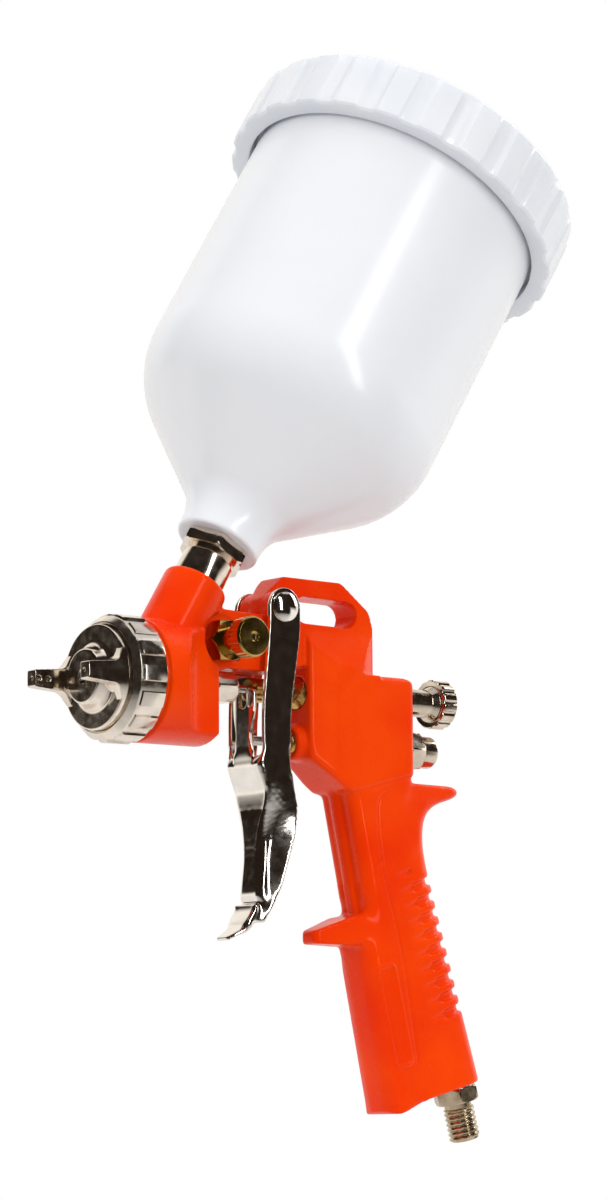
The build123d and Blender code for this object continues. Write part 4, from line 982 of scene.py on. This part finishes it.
def makeKnob():
    face = knob["rear"] - knob["stemOut"]
    back = face - knob["width"]
    floor, dish = back + knob["endWall"], back + knob["dish"]
    inner, stem, r = knob["rear"] + knob["stemIn"], knob["stem"], knob["radius"]
    rows = softCorners([
        (floor, 0), (floor, knob["bore"]), (inner, knob["bore"]), (inner, stem, 0.3), (face + 2.2, stem, 1.2),
        (face, stem + 1.6, 0.4)])
    rows += [(face, r - 0.5), (face - 0.2, r - 0.15)]
    rows += [(face - 0.5 - (knob["width"] - 1.1) * k / 6, r) for k in range(7)]
    rows += [(back + 0.3, r - 0.25), (back, r - 0.7), (back, r - 1.6), (dish, r - 2.2), (dish, 0)]
    pitch = 360 / knob["teeth"]

    def reach(along, radius, angle):
        if radius < r - 0.6 or along > face - 0.01:
            return radius
        turned = (math.degrees(angle) + pitch / 2) % pitch - pitch / 2
        groove = math.exp(-(turned / knob["grooveHalfDegrees"]) ** knob["groovePower"])
        return radius - knob["groove"] * groove
    return turnedMesh("fluidKnob", rows, evenAngles(knob["teeth"] * 16), reach, closed=False)


place("fluidKnob", makeKnob(), "fluid_control", fittingNickel, ["fluid_knob"], sprayAxis)

valveCap = {"seat": -116.1, "length": 12.2, "radius": 5.1, "hex": 11.2, "hexLength": 6.0, "bevel": 0.6,
            "plug": 7.6, "plugRadius": 4.25, "bore": 3.3, "endWall": 2}


def makeValveCap():
    seat, rear = valveCap["seat"], valveCap["seat"] - valveCap["length"]
    hexLow, plugEnd = seat - valveCap["hexLength"], seat + valveCap["plug"]
    floor = rear + valveCap["endWall"]
    rows = softCorners([(rear, 0), (rear, valveCap["radius"], 1.2), (hexLow, valveCap["radius"])])
    rows += hexRows(hexLow, seat, valveCap["hex"], valveCap["bevel"])
    rows += [(seat, valveCap["plugRadius"]), (plugEnd, valveCap["plugRadius"]), (plugEnd, valveCap["bore"]),
             (floor, valveCap["bore"]), (floor, 0)]
    return turnedMesh("valveCap", rows, evenAngles(96),
                      hexReach(hexLow, seat, valveCap["hex"], valveCap["bevel"]), closed=False)


place("valveCap", makeValveCap(), "gun", fittingNickel, ["air_valve_cap"], valveAxis)

inlet = {"toSeat": 12.3, "root": 8.0, "rootRadius": 5.0, "washer": 0.8, "hex": 12.7, "hexLength": 4.6,
         "bevel": 0.7, "neck": 1.6, "neckRadius": 4.3, "radius": 4.864, "bore": 2.9, "thread": 10.6,
         "threadRows": 76, "pitch": 1.6, "threadDeep": 0.55, "grooveHalf": 0.36, "runOut": 0.6}


def makeInlet():
    seat, bore, r = -inlet["toSeat"], inlet["bore"], inlet["radius"]
    foot, hexLow = seat - inlet["root"], seat + inlet["washer"]
    hexHigh = hexLow + inlet["hexLength"]
    start = hexHigh + inlet["neck"]
    end = start + inlet["thread"]
    rows = [(foot, bore), (foot, inlet["rootRadius"]), (hexLow, inlet["rootRadius"])]
    rows += hexRows(hexLow, hexHigh, inlet["hex"], inlet["bevel"])
    rows += [(hexHigh, inlet["neckRadius"]), (start, inlet["neckRadius"]), (start + 0.3, r - 0.3)]
    steps = inlet["threadRows"]
    rows += [(start + 0.45 + (inlet["thread"] - 1.1) * k / steps, r) for k in range(steps + 1)]
    rows += [(end - 0.2, r - 0.45), (end, r - 0.8), (end, bore + 0.3), (end - 0.3, bore)]
    hexagon = hexReach(hexLow, hexHigh, inlet["hex"], inlet["bevel"], 30)

    def thread(along, radius, angle):
        if along < start + 0.4 or radius < r - 0.01:
            return hexagon(along, radius, angle)
        turn = (along / inlet["pitch"] - angle / (2 * math.pi)) % 1
        groove = max(0, 1 - abs(turn - 0.5) / inlet["grooveHalf"])
        runOut = min(1, (along - start - 0.4) / inlet["runOut"])
        return radius - inlet["threadDeep"] * groove ** 0.8 * runOut
    return turnedMesh("airInlet", rows, evenAngles(96), thread, sharp=38)


place("airInlet", makeInlet(), "gun", inletNickel, ["air_inlet"], inletAxis)

packingNut = {"front": -37.1, "shank": 4.5, "shankRadius": 3.95, "collar": 3.6, "collarRadius": 4.7,
              "hex": 9.2, "hexLength": 8.0, "bevel": 0.6, "bore": 1.31}


def makePackingNut():
    front, shank, collar = packingNut["front"], packingNut["shankRadius"], packingNut["collarRadius"]
    hexHigh = front - packingNut["collar"]
    hexLow, shankEnd = hexHigh - packingNut["hexLength"], front + packingNut["shank"]
    rows = [(hexLow, packingNut["bore"])]
    rows += hexRows(hexLow, hexHigh, packingNut["hex"], packingNut["bevel"])
    rows += softCorners([(hexHigh, shank), (hexHigh, collar, 0.3), (front, collar, 0.3), (front, shank)])
    rows += [(shankEnd, shank), (shankEnd, packingNut["bore"])]
    return turnedMesh("packingNut", rows, evenAngles(72),
                      hexReach(hexLow, hexHigh, packingNut["hex"], packingNut["bevel"]))


place("packingNut", makePackingNut(), "gun", lathedNickel, ["packing_nut"], sprayAxis)

bushes = {
    "guideBush": {"node": "needle_guide_bush", "axis": sprayAxis, "corners": [
        (-81.4, 1.31), (-72.8, 1.31, 0.2), (-72.8, 3.1, 0.4), (-74.4, 5.0, 0.6), (-81.4, 5.0)]},
    "valveBush": {"node": "air_valve_bush", "axis": valveAxis, "corners": [
        (-83.0, 1.56), (-69.4, 1.56, 0.2), (-69.4, 4.4, 0.5), (-71.0, 4.4, 0.2), (-71.0, 3.4), (-83.0, 3.4)]},
}
for bushName, bush in bushes.items():
    bushMesh = turnedMesh(bushName, softCorners(bush["corners"]), evenAngles(64))
    place(bushName, bushMesh, "gun", lathedBrass, [bush["node"]], bush["axis"])
print("fittings made, all pieces in place")
